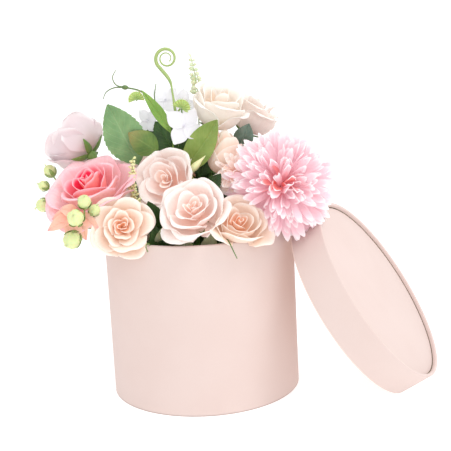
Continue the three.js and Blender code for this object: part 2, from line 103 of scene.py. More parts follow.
# ---------------------------------------------------------------- meshes
class Shape:
    """Closed shells collected for one piece. Each vertex keeps three shares for its material."""

    def __init__(self):
        self.points, self.faces, self.shares, self.count = [], [], [], 0

    def add(self, points, faces, shares=(0, 0, 0)):
        points = np.asarray(points, float).reshape(-1, 3)
        shares = np.broadcast_to(np.asarray(shares, float), points.shape)
        self.points.append(points)
        self.shares.append(shares)
        self.faces += [[i + self.count for i in face] for face in faces]
        self.count += len(points)

    def sheet(self, surface, thickness, shares, rear=0):
        """A closed sheet about surface[row, column]; its front looks along row x column. rear is added
        to the third share of its other side."""
        rows, columns = surface.shape[:2]
        along, across = np.gradient(surface, axis=0), np.gradient(surface, axis=1)
        normal = np.cross(along, across)
        normal /= np.maximum(np.linalg.norm(normal, axis=2, keepdims=True), 1e-12)
        half = normal * thickness / 2
        points = np.concatenate([(surface + half).reshape(-1, 3), (surface - half).reshape(-1, 3)])
        index = np.arange(rows * columns).reshape(rows, columns)
        back = index + rows * columns
        quads = [
            (index[:-1, :-1], index[1:, :-1], index[1:, 1:], index[:-1, 1:]),
            (back[:-1, :-1], back[:-1, 1:], back[1:, 1:], back[1:, :-1]),
            (index[:-1, 0], back[:-1, 0], back[1:, 0], index[1:, 0]),
            (index[1:, -1], back[1:, -1], back[:-1, -1], index[:-1, -1]),
            (index[0, 1:], back[0, 1:], back[0, :-1], index[0, :-1]),
            (index[-1, :-1], back[-1, :-1], back[-1, 1:], index[-1, 1:]),
        ]
        faces = np.vstack([np.stack([c.ravel() for c in quad], axis=1) for quad in quads])
        shares = np.asarray(shares, float).reshape(-1, 3)
        self.add(points, faces.tolist(), np.vstack([shares, shares + [0, 0, rear]]))

    def tube(self, path, radii, sides=10, shares=(0, 0, 0)):
        """A closed tube along the path. Shares may be given for each point of the path."""
        path = np.asarray(path, float)
        count = len(path)
        radii = np.broadcast_to(radii, count)
        tangents = np.gradient(path, axis=0)
        tangents /= np.linalg.norm(tangents, axis=1, keepdims=True)
        side = np.cross(tangents[0], [0.3, 0.9, 0.1])
        rings = []
        angles = np.arange(sides) / sides * 2 * math.pi
        for centre, tangent, radius in zip(path, tangents, radii):
            side = unit(side - tangent * (side @ tangent))
            other = np.cross(tangent, side)
            ring = np.outer(np.cos(angles), side) + np.outer(np.sin(angles), other)
            rings.append(centre + ring * radius)
        points = np.vstack([*rings, path[:1], path[-1:]])
        faces = []
        for i in range(count - 1):
            for j in range(sides):
                k = (j + 1) % sides
                faces.append([i * sides + j, i * sides + k, (i + 1) * sides + k, (i + 1) * sides + j])
        low, high, last = count * sides, count * sides + 1, (count - 1) * sides
        for j in range(sides):
            k = (j + 1) % sides
            faces.append([low, k, j])
            faces.append([high, last + j, last + k])
        shares = np.broadcast_to(np.asarray(shares, float), (count, 3))
        self.add(points, faces, np.vstack([np.repeat(shares, sides, axis=0), shares[:1], shares[-1:]]))

    def twig(self, way, count, thick, thin, sides, shares):
        """A tube along a smooth curve through the points of the way, from thick to thin."""
        self.tube(smooth_path(way, count), np.linspace(thick, thin, count), sides, shares)

    def lathe(self, profile, steps, rotation=np.eye(3), centre=(0, 0, 0), shares=(0, 0, 0), lobes=None):
        """The profile of [radius, height], anticlockwise, turned about +Z. It starts and ends on the
        axis, or closes on itself. lobes gives a factor on the radius for each angle."""
        profile = np.asarray(profile, float)
        solid = profile[0][0] == 0
        rings = profile[1:-1] if solid else profile
        angles = np.arange(steps) / steps * 2 * math.pi if isinstance(steps, int) else steps
        steps = len(angles)
        factor = np.ones(steps) if lobes is None else lobes(angles)
        x = rings[:, :1] * np.cos(angles) * factor
        y = rings[:, :1] * np.sin(angles) * factor
        z = np.broadcast_to(rings[:, 1:], x.shape)
        points = np.stack([x, y, z], axis=2).reshape(-1, 3)
        count = len(rings)
        faces = []
        for i in range(count - 1 if solid else count):
            n = (i + 1) % count
            for j in range(steps):
                k = (j + 1) % steps
                faces.append([i * steps + j, i * steps + k, n * steps + k, n * steps + j])
        if solid:
            low, high = count * steps, count * steps + 1
            points = np.vstack([points, [[0, 0, profile[0][1]], [0, 0, profile[-1][1]]]])
            for j in range(steps):
                k = (j + 1) % steps
                faces.append([low, k, j])
                faces.append([high, (count - 1) * steps + j, (count - 1) * steps + k])
        self.add(points @ np.asarray(rotation).T + np.asarray(centre, float), faces, shares)


def make_object(name, shape, material, body, nodes, sharp=35, settle=None):
    """The shape as one piece on its body, in place of its CAD nodes. settle may move its points."""
    points = np.vstack(shape.points)
    if settle:
        points = settle(points)
    mesh = bpy.data.meshes.new(name)
    mesh.from_pydata((points * MM).tolist(), [], shape.faces)
    attribute = mesh.attributes.new("shares", "FLOAT_VECTOR", "POINT")
    attribute.data.foreach_set("vector", np.vstack(shape.shares).astype(np.float32).ravel())
    mesh.polygons.foreach_set("use_smooth", [True] * len(mesh.polygons))
    mesh.set_sharp_from_angle(angle=math.radians(sharp))
    mesh.materials.append(material)
    mesh.validate()
    piece = bpy.data.objects.new(name, mesh)
    bpy.context.scene.collection.objects.link(piece)
    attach(piece, body)
    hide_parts(*nodes)


# ---------------------------------------------------------------- material graphs
def colour(r, g, b):
    """Linear RGBA of an 8-bit sRGB colour."""
    parts = [c / 255 for c in (r, g, b)]
    return [c / 12.92 if c <= 0.04045 else ((c + 0.055) / 1.055) ** 2.4 for c in parts] + [1.0]


class Graph:
    """A node material with one Principled shader, built by short calls."""

    def __init__(self, name, roughness, **sockets):
        self.material = bpy.data.materials.new(name)
        self.material.use_nodes = True
        self.tree = self.material.node_tree
        self.shader = self.tree.nodes["Principled BSDF"]
        self.shader.inputs["Roughness"].default_value = roughness
        for socket, value in sockets.items():
            self.shader.inputs[socket.replace("_", " ")].default_value = value

    def node(self, kind, **settings):
        node = self.tree.nodes.new(kind)
        for key, value in settings.items():
            setattr(node, key, value)
        return node

    def link(self, value, socket):
        if isinstance(value, bpy.types.NodeSocket):
            self.tree.links.new(value, socket)
        else:
            socket.default_value = value

    def shares(self):
        node = self.node("ShaderNodeAttribute", attribute_name="shares")
        split = self.node("ShaderNodeSeparateXYZ")
        self.link(node.outputs["Vector"], split.inputs[0])
        return split.outputs

    def place(self):
        return self.node("ShaderNodeTexCoord").outputs["Object"]

    def maths(self, operation, a, b=0.0):
        node = self.node("ShaderNodeMath", operation=operation)
        self.link(a, node.inputs[0])
        self.link(b, node.inputs[1])
        return node.outputs[0]

    def ramp(self, value, low, high, to_low=0.0, to_high=1.0):
        node = self.node("ShaderNodeMapRange", interpolation_type="SMOOTHSTEP")
        for socket, number in zip(node.inputs, (value, low, high, to_low, to_high)):
            self.link(number, socket)
        return node.outputs[0]

    def mix(self, share, a, b, blend="MIX"):
        node = self.node("ShaderNodeMix", data_type="RGBA", blend_type=blend)
        self.link(share, node.inputs[0])
        self.link(a, node.inputs[6])
        self.link(b, node.inputs[7])
        return node.outputs[2]

    def vector(self, x=0.0, y=0.0, z=0.0):
        node = self.node("ShaderNodeCombineXYZ")
        for socket, value in zip(node.inputs, (x, y, z)):
            self.link(value, socket)
        return node.outputs[0]

    def stretched(self, at, scale):
        node = self.node("ShaderNodeVectorMath", operation="MULTIPLY")
        self.link(at, node.inputs[0])
        self.link(scale, node.inputs[1])
        return node.outputs[0]

    def noise(self, at, scale, detail=3.0, roughness=0.5):
        node = self.node("ShaderNodeTexNoise")
        self.link(at, node.inputs["Vector"])
        self.link(scale, node.inputs["Scale"])
        self.link(detail, node.inputs["Detail"])
        self.link(roughness, node.inputs["Roughness"])
        return node.outputs["Fac"]

    def cells(self, at, scale):
        node = self.node("ShaderNodeTexVoronoi")
        self.link(at, node.inputs["Vector"])
        self.link(scale, node.inputs["Scale"])
        return node.outputs["Distance"]

    def bump(self, height, distance, strength=1.0):
        node = self.node("ShaderNodeBump")
        self.link(strength, node.inputs["Strength"])
        self.link(distance, node.inputs["Distance"])
        self.link(height, node.inputs["Height"])
        self.link(node.outputs[0], self.shader.inputs["Normal"])

    def base(self, value):
        self.link(value, self.shader.inputs["Base Color"])

    def rough(self, value):
        self.link(value, self.shader.inputs["Roughness"])

    def let_through(self, value, share):
        """Thin cloth: a share of the light passes through, tinted by the value."""
        through = self.node("ShaderNodeBsdfTranslucent")
        both = self.node("ShaderNodeMixShader")
        self.link(value, through.inputs["Color"])
        self.link(share, both.inputs[0])
        self.link(self.shader.outputs[0], both.inputs[1])
        self.link(through.outputs[0], both.inputs[2])
        self.link(both.outputs[0], self.tree.nodes["Material Output"].inputs["Surface"])


def paper_material(name, tint, shade):
    """Uncoated cover paper: a faint fibre tooth, slight clouding and a little unevenness in its glue."""
    g = Graph(name, 0.82, Sheen_Weight=0.08, Specular_IOR_Level=0.25)
    tint, shade = colour(*tint), colour(*shade)
    at = g.place()
    cloud = g.ramp(g.noise(at, 22.0, 4.0), 0.3, 0.7)
    fibre = g.noise(g.stretched(at, (1.0, 1.0, 0.35)), 1400.0, 4.0, 0.7)
    base = g.mix(g.maths("MULTIPLY", cloud, 0.35), tint, shade)
    speck = g.ramp(fibre, 0.3, 0.75, 0.0, 0.22)
    g.base(g.mix(speck, base, shade))
    g.rough(g.ramp(fibre, 0.2, 0.8, 0.76, 0.9))
    height = g.maths("ADD", fibre, g.maths("MULTIPLY", g.noise(at, 60.0), 1.2))
    g.bump(height, 0.00005, 0.5)
    return g.material


def board_material(name):
    """Grey-brown recycled board with flecks and wound layers."""
    g = Graph(name, 0.9)
    at = g.place()
    flecks = g.ramp(g.noise(at, 900.0, 5.0, 0.7), 0.35, 0.7)
    layers = g.noise(g.stretched(at, (1.0, 1.0, 14.0)), 60.0, 3.0)
    base = g.mix(flecks, colour(176, 158, 134), colour(146, 128, 106))
    g.base(g.mix(g.maths("MULTIPLY", layers, 0.35), base, colour(198, 184, 160)))
    g.bump(g.maths("ADD", flecks, layers), 0.0001, 0.6)
    return g.material


def foam_material(name):
    """Dry flower foam: open pores and crumbs."""
    g = Graph(name, 0.95)
    at = g.place()
    pores = g.cells(at, 900.0)
    crumbs = g.noise(at, 260.0, 6.0, 0.7)
    base = g.mix(g.ramp(pores, 0.1, 0.5), colour(48, 66, 34), colour(92, 118, 66))
    g.base(g.mix(g.ramp(crumbs, 0.4, 0.7, 0.0, 0.6), base, colour(70, 88, 48)))
    g.bump(g.maths("ADD", pores, crumbs), 0.0008, 0.9)
    return g.material


def plastic_material(name, tint, dark):
    g = Graph(name, 0.45)
    tint, dark = colour(*tint), colour(*dark)
    at = g.place()
    cloud = g.noise(at, 40.0, 3.0)
    g.base(g.mix(g.ramp(cloud, 0.3, 0.7, 0.0, 0.5), tint, dark))
    g.rough(g.ramp(cloud, 0.2, 0.8, 0.38, 0.55))
    g.bump(g.noise(at, 500.0, 2.0), 0.00006, 0.4)
    return g.material


PETAL_LETS_THROUGH = 0.35  # the share of light that passes through thin cloth
# Painted light: the petals glow this much in their own colour, though they are no lamp.
PETAL_PAINTED_GLOW = 0.1


def petal_material(name, heart, face, rim, root_shade_and_streak, outside, heart_reach=(0.05, 0.55), root=(0.5, 1.2)):
    """Printed petal cloth. shares are across (-1 to 1), along (0 at the root) and layer (0 in the heart),
    with 2 added to the layer on the petal's outer side. The colour is deepest at the root and in the inner
    layers, partly the cloth's own deeper base and partly painted shade of the bloom's hollow; the heart's
    own colour lies towards the middle of the bloom, and the rim is palest, partly the cloth's own pale edge
    and partly a painted highlight. The petals also glow faintly in their own colour, which is painted
    light."""
    g = Graph(name, 0.7, Sheen_Weight=0.1, Specular_IOR_Level=0.2)
    heart, face, rim, root_shade_and_streak, outside = (colour(*c) for c in (heart, face, rim, root_shade_and_streak, outside))
    across, along, mark = g.shares()
    outer = g.ramp(mark, 1.2, 1.8)
    layer = g.maths("SUBTRACT", mark, g.maths("MULTIPLY", outer, 2.0))
    fan = g.vector(g.maths("MULTIPLY", across, 9.0), along, g.maths("MULTIPLY", layer, 31.0))
    streak = g.noise(fan, 2.2, 4.0)
    inner = g.mix(g.ramp(layer, *heart_reach), heart, face)
    body = g.mix(g.maths("MULTIPLY", outer, 0.75), inner, outside)
    # The root colour is partly the cloth's own deeper base and partly painted shade of the bloom's hollow:
    # it fills the petal roots and the inner layers, and fades out along the petal.
    clear_of_hollow_shade = g.maths("ADD", along, g.maths("MULTIPLY", streak, 0.25))
    clear_of_hollow_shade = g.maths("ADD", clear_of_hollow_shade, g.maths("MULTIPLY", layer, 0.45))
    hollow_shaded = g.mix(g.ramp(clear_of_hollow_shade, *root), root_shade_and_streak, body)
    # Painted highlight: the rim colour along the lip and the side edges is partly the cloth's own paler
    # edge and partly a painted highlight.
    side = g.maths("MULTIPLY", g.maths("POWER", g.maths("ABSOLUTE", across), 6.0), 0.8)
    edge = g.ramp(g.maths("MAXIMUM", along, side), 0.82, 1.0)
    rimmed = g.mix(edge, hollow_shaded, rim)
    # Random streaks of the same root colour are the cloth's own print.
    final = g.mix(g.ramp(streak, 0.35, 0.75, 0.0, 0.12), rimmed, root_shade_and_streak)
    g.base(final)
    g.let_through(final, PETAL_LETS_THROUGH)
    # Painted light: a faint glow in the petals' own colour lifts their shade.
    g.link(final, g.shader.inputs["Emission Color"])
    g.shader.inputs["Emission Strength"].default_value = PETAL_PAINTED_GLOW
    weave = g.noise(g.place(), 1500.0, 2.0, 0.6)
    height = g.maths("ADD", g.maths("MULTIPLY", streak, 2.0), g.maths("MULTIPLY", weave, 0.5))
    g.bump(height, 0.00018, 0.5)
    g.rough(g.ramp(weave, 0.2, 0.8, 0.62, 0.8))
    return g.material


def leaf_material(name, face, dark, vein, tip=None):
    """Printed leaf cloth. shares are across (-1 to 1), along and 0. Side veins run forward."""
    g = Graph(name, 0.55, Subsurface_Weight=0.12, Subsurface_Scale=0.001, Sheen_Weight=0.1)
    face, dark, vein = (colour(*c) for c in (face, dark, vein))
    across, along, _ = g.shares()
    reach = g.maths("ABSOLUTE", across)
    rib = g.ramp(reach, 0.02, 0.07, 1.0, 0.0)
    wave = g.maths("SUBTRACT", g.maths("MULTIPLY", along, 52.0), g.maths("MULTIPLY", reach, 17.0))
    veins = g.ramp(g.maths("SINE", wave), 0.8, 1.0)
    veined = g.maths("MAXIMUM", rib, g.maths("MULTIPLY", veins, 0.55))
    cloud = g.noise(g.place(), 90.0, 4.0)
    base = g.mix(g.ramp(cloud, 0.3, 0.7), face, dark)
    if tip:
        base = g.mix(g.ramp(along, 0.45, 1.0, 0.0, 0.8), base, colour(*tip))
    g.base(g.mix(g.maths("MULTIPLY", veined, 0.3), base, vein))
    weave = g.noise(g.place(), 1300.0, 2.0)
    g.bump(g.maths("SUBTRACT", g.maths("MULTIPLY", weave, 0.5), veined), 0.0003, 0.6)
    g.rough(g.ramp(weave, 0.2, 0.8, 0.48, 0.66))
    return g.material


def shoot_material(name, low, high, pale):
    """Plastic stems and buds. The second share runs from the foot, 0, to the tip, 1."""
    g = Graph(name, 0.5, Subsurface_Weight=0.15, Subsurface_Scale=0.001)
    low, high, pale = (colour(*c) for c in (low, high, pale))
    _, along, mark = g.shares()
    at = g.place()
    cloud = g.noise(g.stretched(at, (1.0, 1.0, 0.4)), 260.0, 4.0)
    base = g.mix(g.ramp(along, 0.1, 0.95), low, high)
    base = g.mix(g.ramp(cloud, 0.4, 0.75, 0.0, 0.3), base, pale)
    g.base(g.mix(g.maths("MULTIPLY", mark, 0.8), base, pale))
    g.rough(g.ramp(cloud, 0.2, 0.8, 0.4, 0.62))
    g.bump(cloud, 0.0002, 0.5)
    return g.material


PAPERS = {
    "cover_paper": paper_material("cover_paper", (219, 200, 194), (213, 191, 184)),
    "lining_paper": paper_material("lining_paper", (247, 228, 220), (240, 214, 204)),
}
BOARD = board_material("greyboard")
FOAM = foam_material("flower_foam")
LINER = plastic_material("liner_plastic", (232, 229, 221), (220, 216, 206))
STEM = shoot_material("stem_plastic", (70, 104, 48), (104, 140, 66), (150, 176, 96))

# Each row gives the heart, the face, the rim (partly a painted highlight), the root (partly painted shade
# of the bloom's hollow) and the outer side.
PETAL_COLOURS = {
    "cream": [(250, 196, 158), (251, 236, 224), (253, 247, 241), (250, 212, 182), (250, 234, 223)],
    "warm_cream": [(246, 170, 122), (251, 236, 224), (253, 247, 241), (248, 204, 170), (250, 234, 223)],
    "peach": [(248, 190, 160), (252, 214, 196), (252, 200, 200), (246, 176, 150), (250, 206, 190)],
    "pale_cream": [(251, 236, 220), (251, 247, 242), (253, 251, 248), (250, 235, 218), (248, 242, 236)],
    "blush": [(252, 228, 214), (253, 243, 239), (254, 250, 248), (252, 223, 211), (252, 236, 231)],
    "pink": [(252, 62, 112), (252, 234, 238), (254, 224, 230), (250, 84, 118), (252, 206, 192)],
    "mauve": [(236, 222, 222), (240, 230, 232), (246, 241, 242), (230, 208, 204), (234, 221, 224)],
    "dusty": [(240, 222, 212), (250, 244, 238), (252, 248, 244), (232, 206, 196), (244, 232, 226)],
    "mum": [(255, 146, 134), (254, 230, 236), (255, 251, 252), (254, 190, 199), (255, 238, 242)],
    "mum_small": [(252, 222, 208), (253, 240, 234), (254, 250, 247), (250, 212, 196), (252, 238, 230)],
    "floret": [(238, 237, 242), (244, 243, 246), (250, 250, 252), (226, 224, 234), (236, 235, 240)],
}
# How far the heart's colour and the root's colour (partly painted shade of the hollow) reach, where they
# differ from the usual.
PETAL_REACHES = {
    "warm_cream": dict(heart_reach=(0.0, 0.5)),
    "pink": dict(heart_reach=(0.3, 0.84), root=(0.3, 0.95)),
    "mum": dict(heart_reach=(0.05, 0.24), root=(0.15, 0.95)),
    "mum_small": dict(root=(0.2, 1.0)),
    "floret": dict(root=(0.0, 0.5)),
}
PETALS = {}
for look, colours in PETAL_COLOURS.items():
    PETALS[look] = petal_material(f"{look}_petals", *colours, **PETAL_REACHES.get(look, {}))


# ---------------------------------------------------------------- the box, the lid and the insert
def arc(corner, before, after, radius, segments=6):
    """Points that round a corner of a profile between its two neighbours."""
    corner, before, after = (np.asarray(p, float) for p in (corner, before, after))
    a, b = unit(before - corner), unit(after - corner)
    half = math.acos(np.clip(a @ b, -1, 1)) / 2
    centre = corner + unit(a + b) * radius / math.sin(half)
    start, end = corner + a * radius / math.tan(half), corner + b * radius / math.tan(half)
    points = []
    for t in np.linspace(0, 1, segments):
        points.append(centre + unit((start - centre) * (1 - t) + (end - centre) * t) * radius)
    return points


def rounded(profile, radii):
    """The closed profile with the corners that have a radius rounded."""
    points = []
    for i, (corner, radius) in enumerate(zip(profile, radii)):
        if radius:
            points += arc(corner, profile[i - 1], profile[(i + 1) % len(profile)], radius)
        else:
            points.append(np.asarray(corner, float))
    return points


def ring(inner, outer, low, high, soft=0.3):
    corners = [[inner, low], [outer, low], [outer, high], [inner, high]]
    return rounded(corners, [soft] * 4)


def disc(radius, low, high, soft=0.3):
    corners = [[0, low], [radius, low], [radius, high], [0, high]]
    return rounded(corners, [0, soft, soft, 0])


def folded_wrap(outer, inner, low, high, fold_end, soft):
    """Cover paper up the outside, over the rim and down the inside."""
    corners = [
        [outer, low],
        [outer, high],
        [inner, high],
        [inner, fold_end],
        [inner + PAPER, fold_end],
        [inner + PAPER, high - PAPER],
        [outer - PAPER, high - PAPER],
        [outer - PAPER, low],
    ]
    return rounded(corners, [0.15, soft, soft, 0.15, 0.15, soft - PAPER, soft - PAPER, 0.15])


RING_STEPS = 180
TURNED_SHARP = 50  # degrees; folds and rims under this are shaded smooth
SEAM = math.radians(100)
SEAM_LAP = math.radians(9)
SEAM_RISE = 0.0035

# Finer steps where the paper laps over itself.
seam_fine = np.concatenate(
    [SEAM + np.linspace(-0.02, 0.02, 9), SEAM + SEAM_LAP + np.linspace(-0.006, 0.006, 7)]
)
ring_angles = np.unique(np.concatenate([np.arange(RING_STEPS) / RING_STEPS * 2 * math.pi, seam_fine]))


def lapped(angles):
    """A paper seam at the back: the sheet rises gently over its own end and stops."""
    rise = smoothstep(SEAM - 0.02, SEAM + 0.02, angles)
    stop = 1 - smoothstep(SEAM + SEAM_LAP - 0.003, SEAM + SEAM_LAP + 0.003, angles)
    return 1 + SEAM_RISE * rise * stop


SLOT_LOOKS = {**PAPERS, "greyboard": BOARD, "liner_plastic": LINER}
UPRIGHT = (np.eye(3), (0, 0, 0))


def turned(name, profile, body, node, slot, pose=UPRIGHT, seam=False):
    """One piece turned about its axis, in the look of its slot. seam laps a paper at the back."""
    shape = Shape()
    shape.lathe(profile, ring_angles, *pose, lobes=lapped if seam else None)
    make_object(name, shape, SLOT_LOOKS[slot], body, [node], sharp=TURNED_SHARP)


BOX_RADIUS = 80.0
BOX_HEIGHT = 141.4
TURN_IN = 12  # how far the cover paper is folded down inside the mouth
box_parts = [
    (
        "box_cover_paper", folded_wrap(BOX_RADIUS, 76.4, 0.7, BOX_HEIGHT, BOX_HEIGHT - TURN_IN, 1.3),
        "body_wrap", "cover_paper",
    ),
    ("box_tube", ring(77.1, 79.3, 0.7, 140.7), "body_tube", "greyboard"),
    ("box_lining_paper", ring(76.4, 76.8, 3.5, BOX_HEIGHT - 14, 0.12), "body_lining", "lining_paper"),
    ("box_base_board", disc(76.8, 0.7, 3.2), "base_board", "greyboard"),
    ("box_base_paper", disc(BOX_RADIUS, 0, PAPER, 0.15), "base_paper", "cover_paper"),
]
for name, profile, node, slot in box_parts:
    turned(name, profile, "box", node, slot, seam=name == "box_cover_paper")

LID_RADIUS = 83.4
LID_HEIGHT = 30.2
LID_ELEVATION = math.radians(33.5)
LID_AZIMUTH = math.radians(-17.5)
tilt = math.pi / 2 - LID_ELEVATION
lid_turn = np.array(
    [
        [math.cos(LID_AZIMUTH), -math.sin(LID_AZIMUTH), 0],
        [math.sin(LID_AZIMUTH), math.cos(LID_AZIMUTH), 0],
        [0, 0, 1],
    ]
) @ np.array([[math.cos(tilt), 0, math.sin(tilt)], [0, 1, 0], [-math.sin(tilt), 0, math.cos(tilt)]])
lid_centre = np.array([125.2, -21, 82.7 * math.cos(LID_ELEVATION)])
lid_axis = lid_turn[:, 2]
LID_POSE = (lid_turn, lid_centre)

# The lining is turned out round the ring's open edge.
lid_lining = [
    [80.6, 0.3],
    [80.9, 0],
    [82.5, 0],
    [83.1, 0.6],
    [83.4, 1.2],
    [83.0, 1.25],
    [82.7, 0.75],
    [82.4, 0.4],
    [81.0, 0.4],
    [81.0, 23.4],
    [80.6, 23.4],
]
lid_parts = [
    ("lid_rim_board", ring(81.3, 82.7, 1.0, 29.5), "lid_ring", "greyboard"),
    (
        "lid_cover_paper", folded_wrap(LID_RADIUS, 80.6, 1.2, LID_HEIGHT, 26.9, 1.1), "lid_wrap",
        "cover_paper",
    ),
    ("lid_lining_paper", lid_lining, "lid_lining", "lining_paper"),
    ("lid_top_board", disc(81.0, 23.7, 25.9), "lid_board", "greyboard"),
    ("lid_face_paper", disc(80.0, 26.2, 26.6, 0.15), "lid_top_paper", "cover_paper"),
    ("lid_inside_paper", disc(80.3, 23.0, 23.4, 0.15), "lid_under_paper", "lining_paper"),
]
for name, profile, node, slot in lid_parts:
    turned(name, profile, "lid", node, slot, LID_POSE, seam=name == "lid_cover_paper")

liner_low = 3.5
liner_high = 115.5
liner_profile = [
    [0, liner_low],
    [72.4, liner_low],
    [75.4, liner_high],
    [74.5, liner_high],
    [71.5, liner_low + 1.2],
    [0, liner_low + 1.2],
]
turned(
    "liner_shell", rounded(liner_profile, [0, 0.8, 0.3, 0.3, 0.8, 0]), "insert", "liner_pot",
    "liner_plastic",
)


def foam_shape(feet):
    """The foam: a turned block whose top is crumbled, with a shallow dent round each stem."""
    shape = Shape()
    rows, steps = 34, 96
    profile = [[0, 5.0], [70.9, 5.0], [73.9, FOAM_TOP - 3], [72.6, FOAM_TOP - 1], [70.9, FOAM_TOP]]
    profile += [[r, FOAM_TOP] for r in np.linspace(70.9, 0, rows)[1:]]
    shape.lathe(profile, steps)
    points = shape.points[0]
    top = points[:, 2] > FOAM_TOP - 0.01
    rng = np.random.default_rng(5)
    crumbs = rng.uniform(-0.7, 0.0, len(points))
    dent = np.zeros(len(points))
    for x, y in feet:
        gap = np.hypot(points[:, 0] - x, points[:, 1] - y)
        dent += 1.2 * np.exp(-((gap / 4.0) ** 2))
    points[:, 2] -= np.where(top, dent - crumbs, 0)
    return shape


# ---------------------------------------------------------------- room for the box and the lid
RIM_AIR = 0.7
RIM_INSIDE = 76.4 - RIM_AIR
RIM_OUTSIDE = BOX_RADIUS + RIM_AIR
RIM_TOP = BOX_HEIGHT + RIM_AIR


def over_rim(points):
    """Lifts petals that would cut the box's wall, so that they lie over its rim."""
    points = points.copy()
    radius = np.hypot(points[:, 0], points[:, 1])
    within = np.maximum(RIM_INSIDE - radius, 0)
    beyond = np.maximum(radius - RIM_OUTSIDE, 0)
    least = RIM_TOP - within * 1.1 - beyond * 4
    lift = (within < 12) & (beyond < 5) & (points[:, 2] < least)
    points[lift, 2] = least[lift]
    return off_lid(points)


def off_lid(points):
    """Moves points out of the lid, to its nearest outside."""
    air = RIM_AIR
    offset = points - lid_centre
    height = offset @ lid_axis
    radial = offset - height[:, None] * lid_axis
    distance = np.linalg.norm(radial, axis=1)
    reach = LID_RADIUS + air
    inside = (distance < reach) & (height > -air) & (height < LID_HEIGHT + air)
    outwards = reach - distance
    upwards = LID_HEIGHT + air - height
    side = inside & (outwards <= upwards)
    scale = np.where(side, reach / np.maximum(distance, 1), 1)
    moved = lid_centre + height[:, None] * lid_axis + radial * scale[:, None]
    points = np.where(side[:, None], moved, points)
    over = inside & ~side
    return points + np.where(over, upwards, 0)[:, None] * lid_axis


# ---------------------------------------------------------------- petals of a rose
PETAL_ROWS = 17
PETAL_COLUMNS = 21


def rose_petal(rng, line, angle, spread, layer, ruffle, mess=1.0):
    """One petal of a cup turned about +Z. line is its profile from the root to the lip, and spread its
    half width as an angle. One edge tucks under its neighbour, and the corners of the lip roll out."""
    profile = smooth_path(np.column_stack([line, np.zeros(len(line))]), 48)[:, :2]
    v, u = np.meshgrid(
        np.linspace(0, 1, PETAL_ROWS) ** 0.9, np.linspace(-1, 1, PETAL_COLUMNS), indexing="ij",
    )
    drop = rng.uniform(0.24, 0.4)
    point = rng.uniform(-0.03, 0.05)
    skew = rng.uniform(-0.08, 0.08)
    shift = u - skew
    reach = v * (1 - drop * np.abs(shift) ** 2.3 + point * np.exp(-((shift / 0.16) ** 2)))
    reach += 0.015 * ruffle * np.sin(u * rng.uniform(4, 8) + rng.uniform(0, 6)) * v**3
    at = np.clip(reach, 0, 1.05) * (len(profile) - 1)
    radius = np.interp(at, np.arange(len(profile)), profile[:, 0])
    height = np.interp(at, np.arange(len(profile)), profile[:, 1])
    width = spread * (0.5 + 0.5 * np.sin(np.minimum(v * 1.5, 1) * math.pi / 2))
    width *= 1 - 0.16 * smoothstep(0.6, 1.0, v)
    theta = angle + u * width
    edge = np.abs(u) ** 3 * v**2
    radius += 0.045 * u * v + rng.uniform(0.04, 0.13) * edge * (0.4 + layer)
    height -= rng.uniform(0.0, 0.06) * edge
    height += rng.uniform(-0.05, 0.05) * u * v**1.5 * (0.4 + layer)
    wave = np.sin(u * rng.uniform(2.2, 4.4) + rng.uniform(0, 6))
    radius += 0.045 * ruffle * wave * v**2.2
    height += 0.03 * ruffle * np.sin(u * rng.uniform(3, 6) + rng.uniform(0, 6)) * v**3
    fold = np.exp(-(((u - rng.uniform(-0.5, 0.5)) / 0.16) ** 2)) * np.sin(v * math.pi * 0.8)
    radius = np.maximum(radius + fold * rng.uniform(-0.02, 0.03), 0.008)
    surface = np.stack([radius * np.cos(theta), radius * np.sin(theta), height], axis=2)
    lean = rng.normal(0, 0.05) * (0.3 + layer) * mess + 0.02
    pivot = np.array([0, 0, line[0][1]])
    axis = np.array([-math.sin(angle), math.cos(angle), 0])
    surface = (surface - pivot) @ turn_about(axis, lean).T + pivot
    return surface, np.stack([u, v, np.full_like(u, layer)], axis=2)


def turn_about(axis, angle):
    x, y, z = unit(axis)
    k = np.array([[0, -z, y], [z, 0, -x], [-y, x, 0]])
    return np.eye(3) + math.sin(angle) * k + (1 - math.cos(angle)) * k @ k


# Layers from the heart out: petals, half width in degrees, and the profile from the root to the lip.
OPEN_ROSE = [
    (3, 84, [[0.02, -0.36], [0.05, -0.18], [0.08, -0.04], [0.13, 0.08]]),
    (4, 66, [[0.03, -0.42], [0.12, -0.22], [0.18, -0.05], [0.26, 0.1]]),
    (4, 60, [[0.04, -0.5], [0.22, -0.32], [0.3, -0.12], [0.4, 0.08], [0.47, 0.12]]),
    (4, 62, [[0.06, -0.58], [0.34, -0.42], [0.46, -0.2], [0.6, 0.02], [0.71, 0.08]]),
    (5, 56, [[0.06, -0.66], [0.46, -0.54], [0.62, -0.3], [0.78, -0.08], [0.93, 0.0], [0.99, -0.04]]),
    (4, 60, [[0.07, -0.75], [0.56, -0.66], [0.8, -0.46], [0.98, -0.24], [1.12, -0.18], [1.16, -0.24]]),
]
PLUMP_ROSE = [
    (3, 90, [[0.02, -0.36], [0.06, -0.12], [0.09, 0.04], [0.12, 0.16]]),
    (3, 80, [[0.03, -0.44], [0.16, -0.2], [0.22, 0.0], [0.26, 0.17]]),
    (4, 68, [[0.04, -0.54], [0.3, -0.32], [0.38, -0.08], [0.42, 0.14], [0.48, 0.2]]),
    (4, 70, [[0.06, -0.64], [0.48, -0.46], [0.6, -0.18], [0.68, 0.06], [0.78, 0.14]]),
    (5, 62, [[0.07, -0.75], [0.6, -0.62], [0.82, -0.32], [0.94, -0.02], [1.06, 0.06], [1.1, 0.0]]),
]
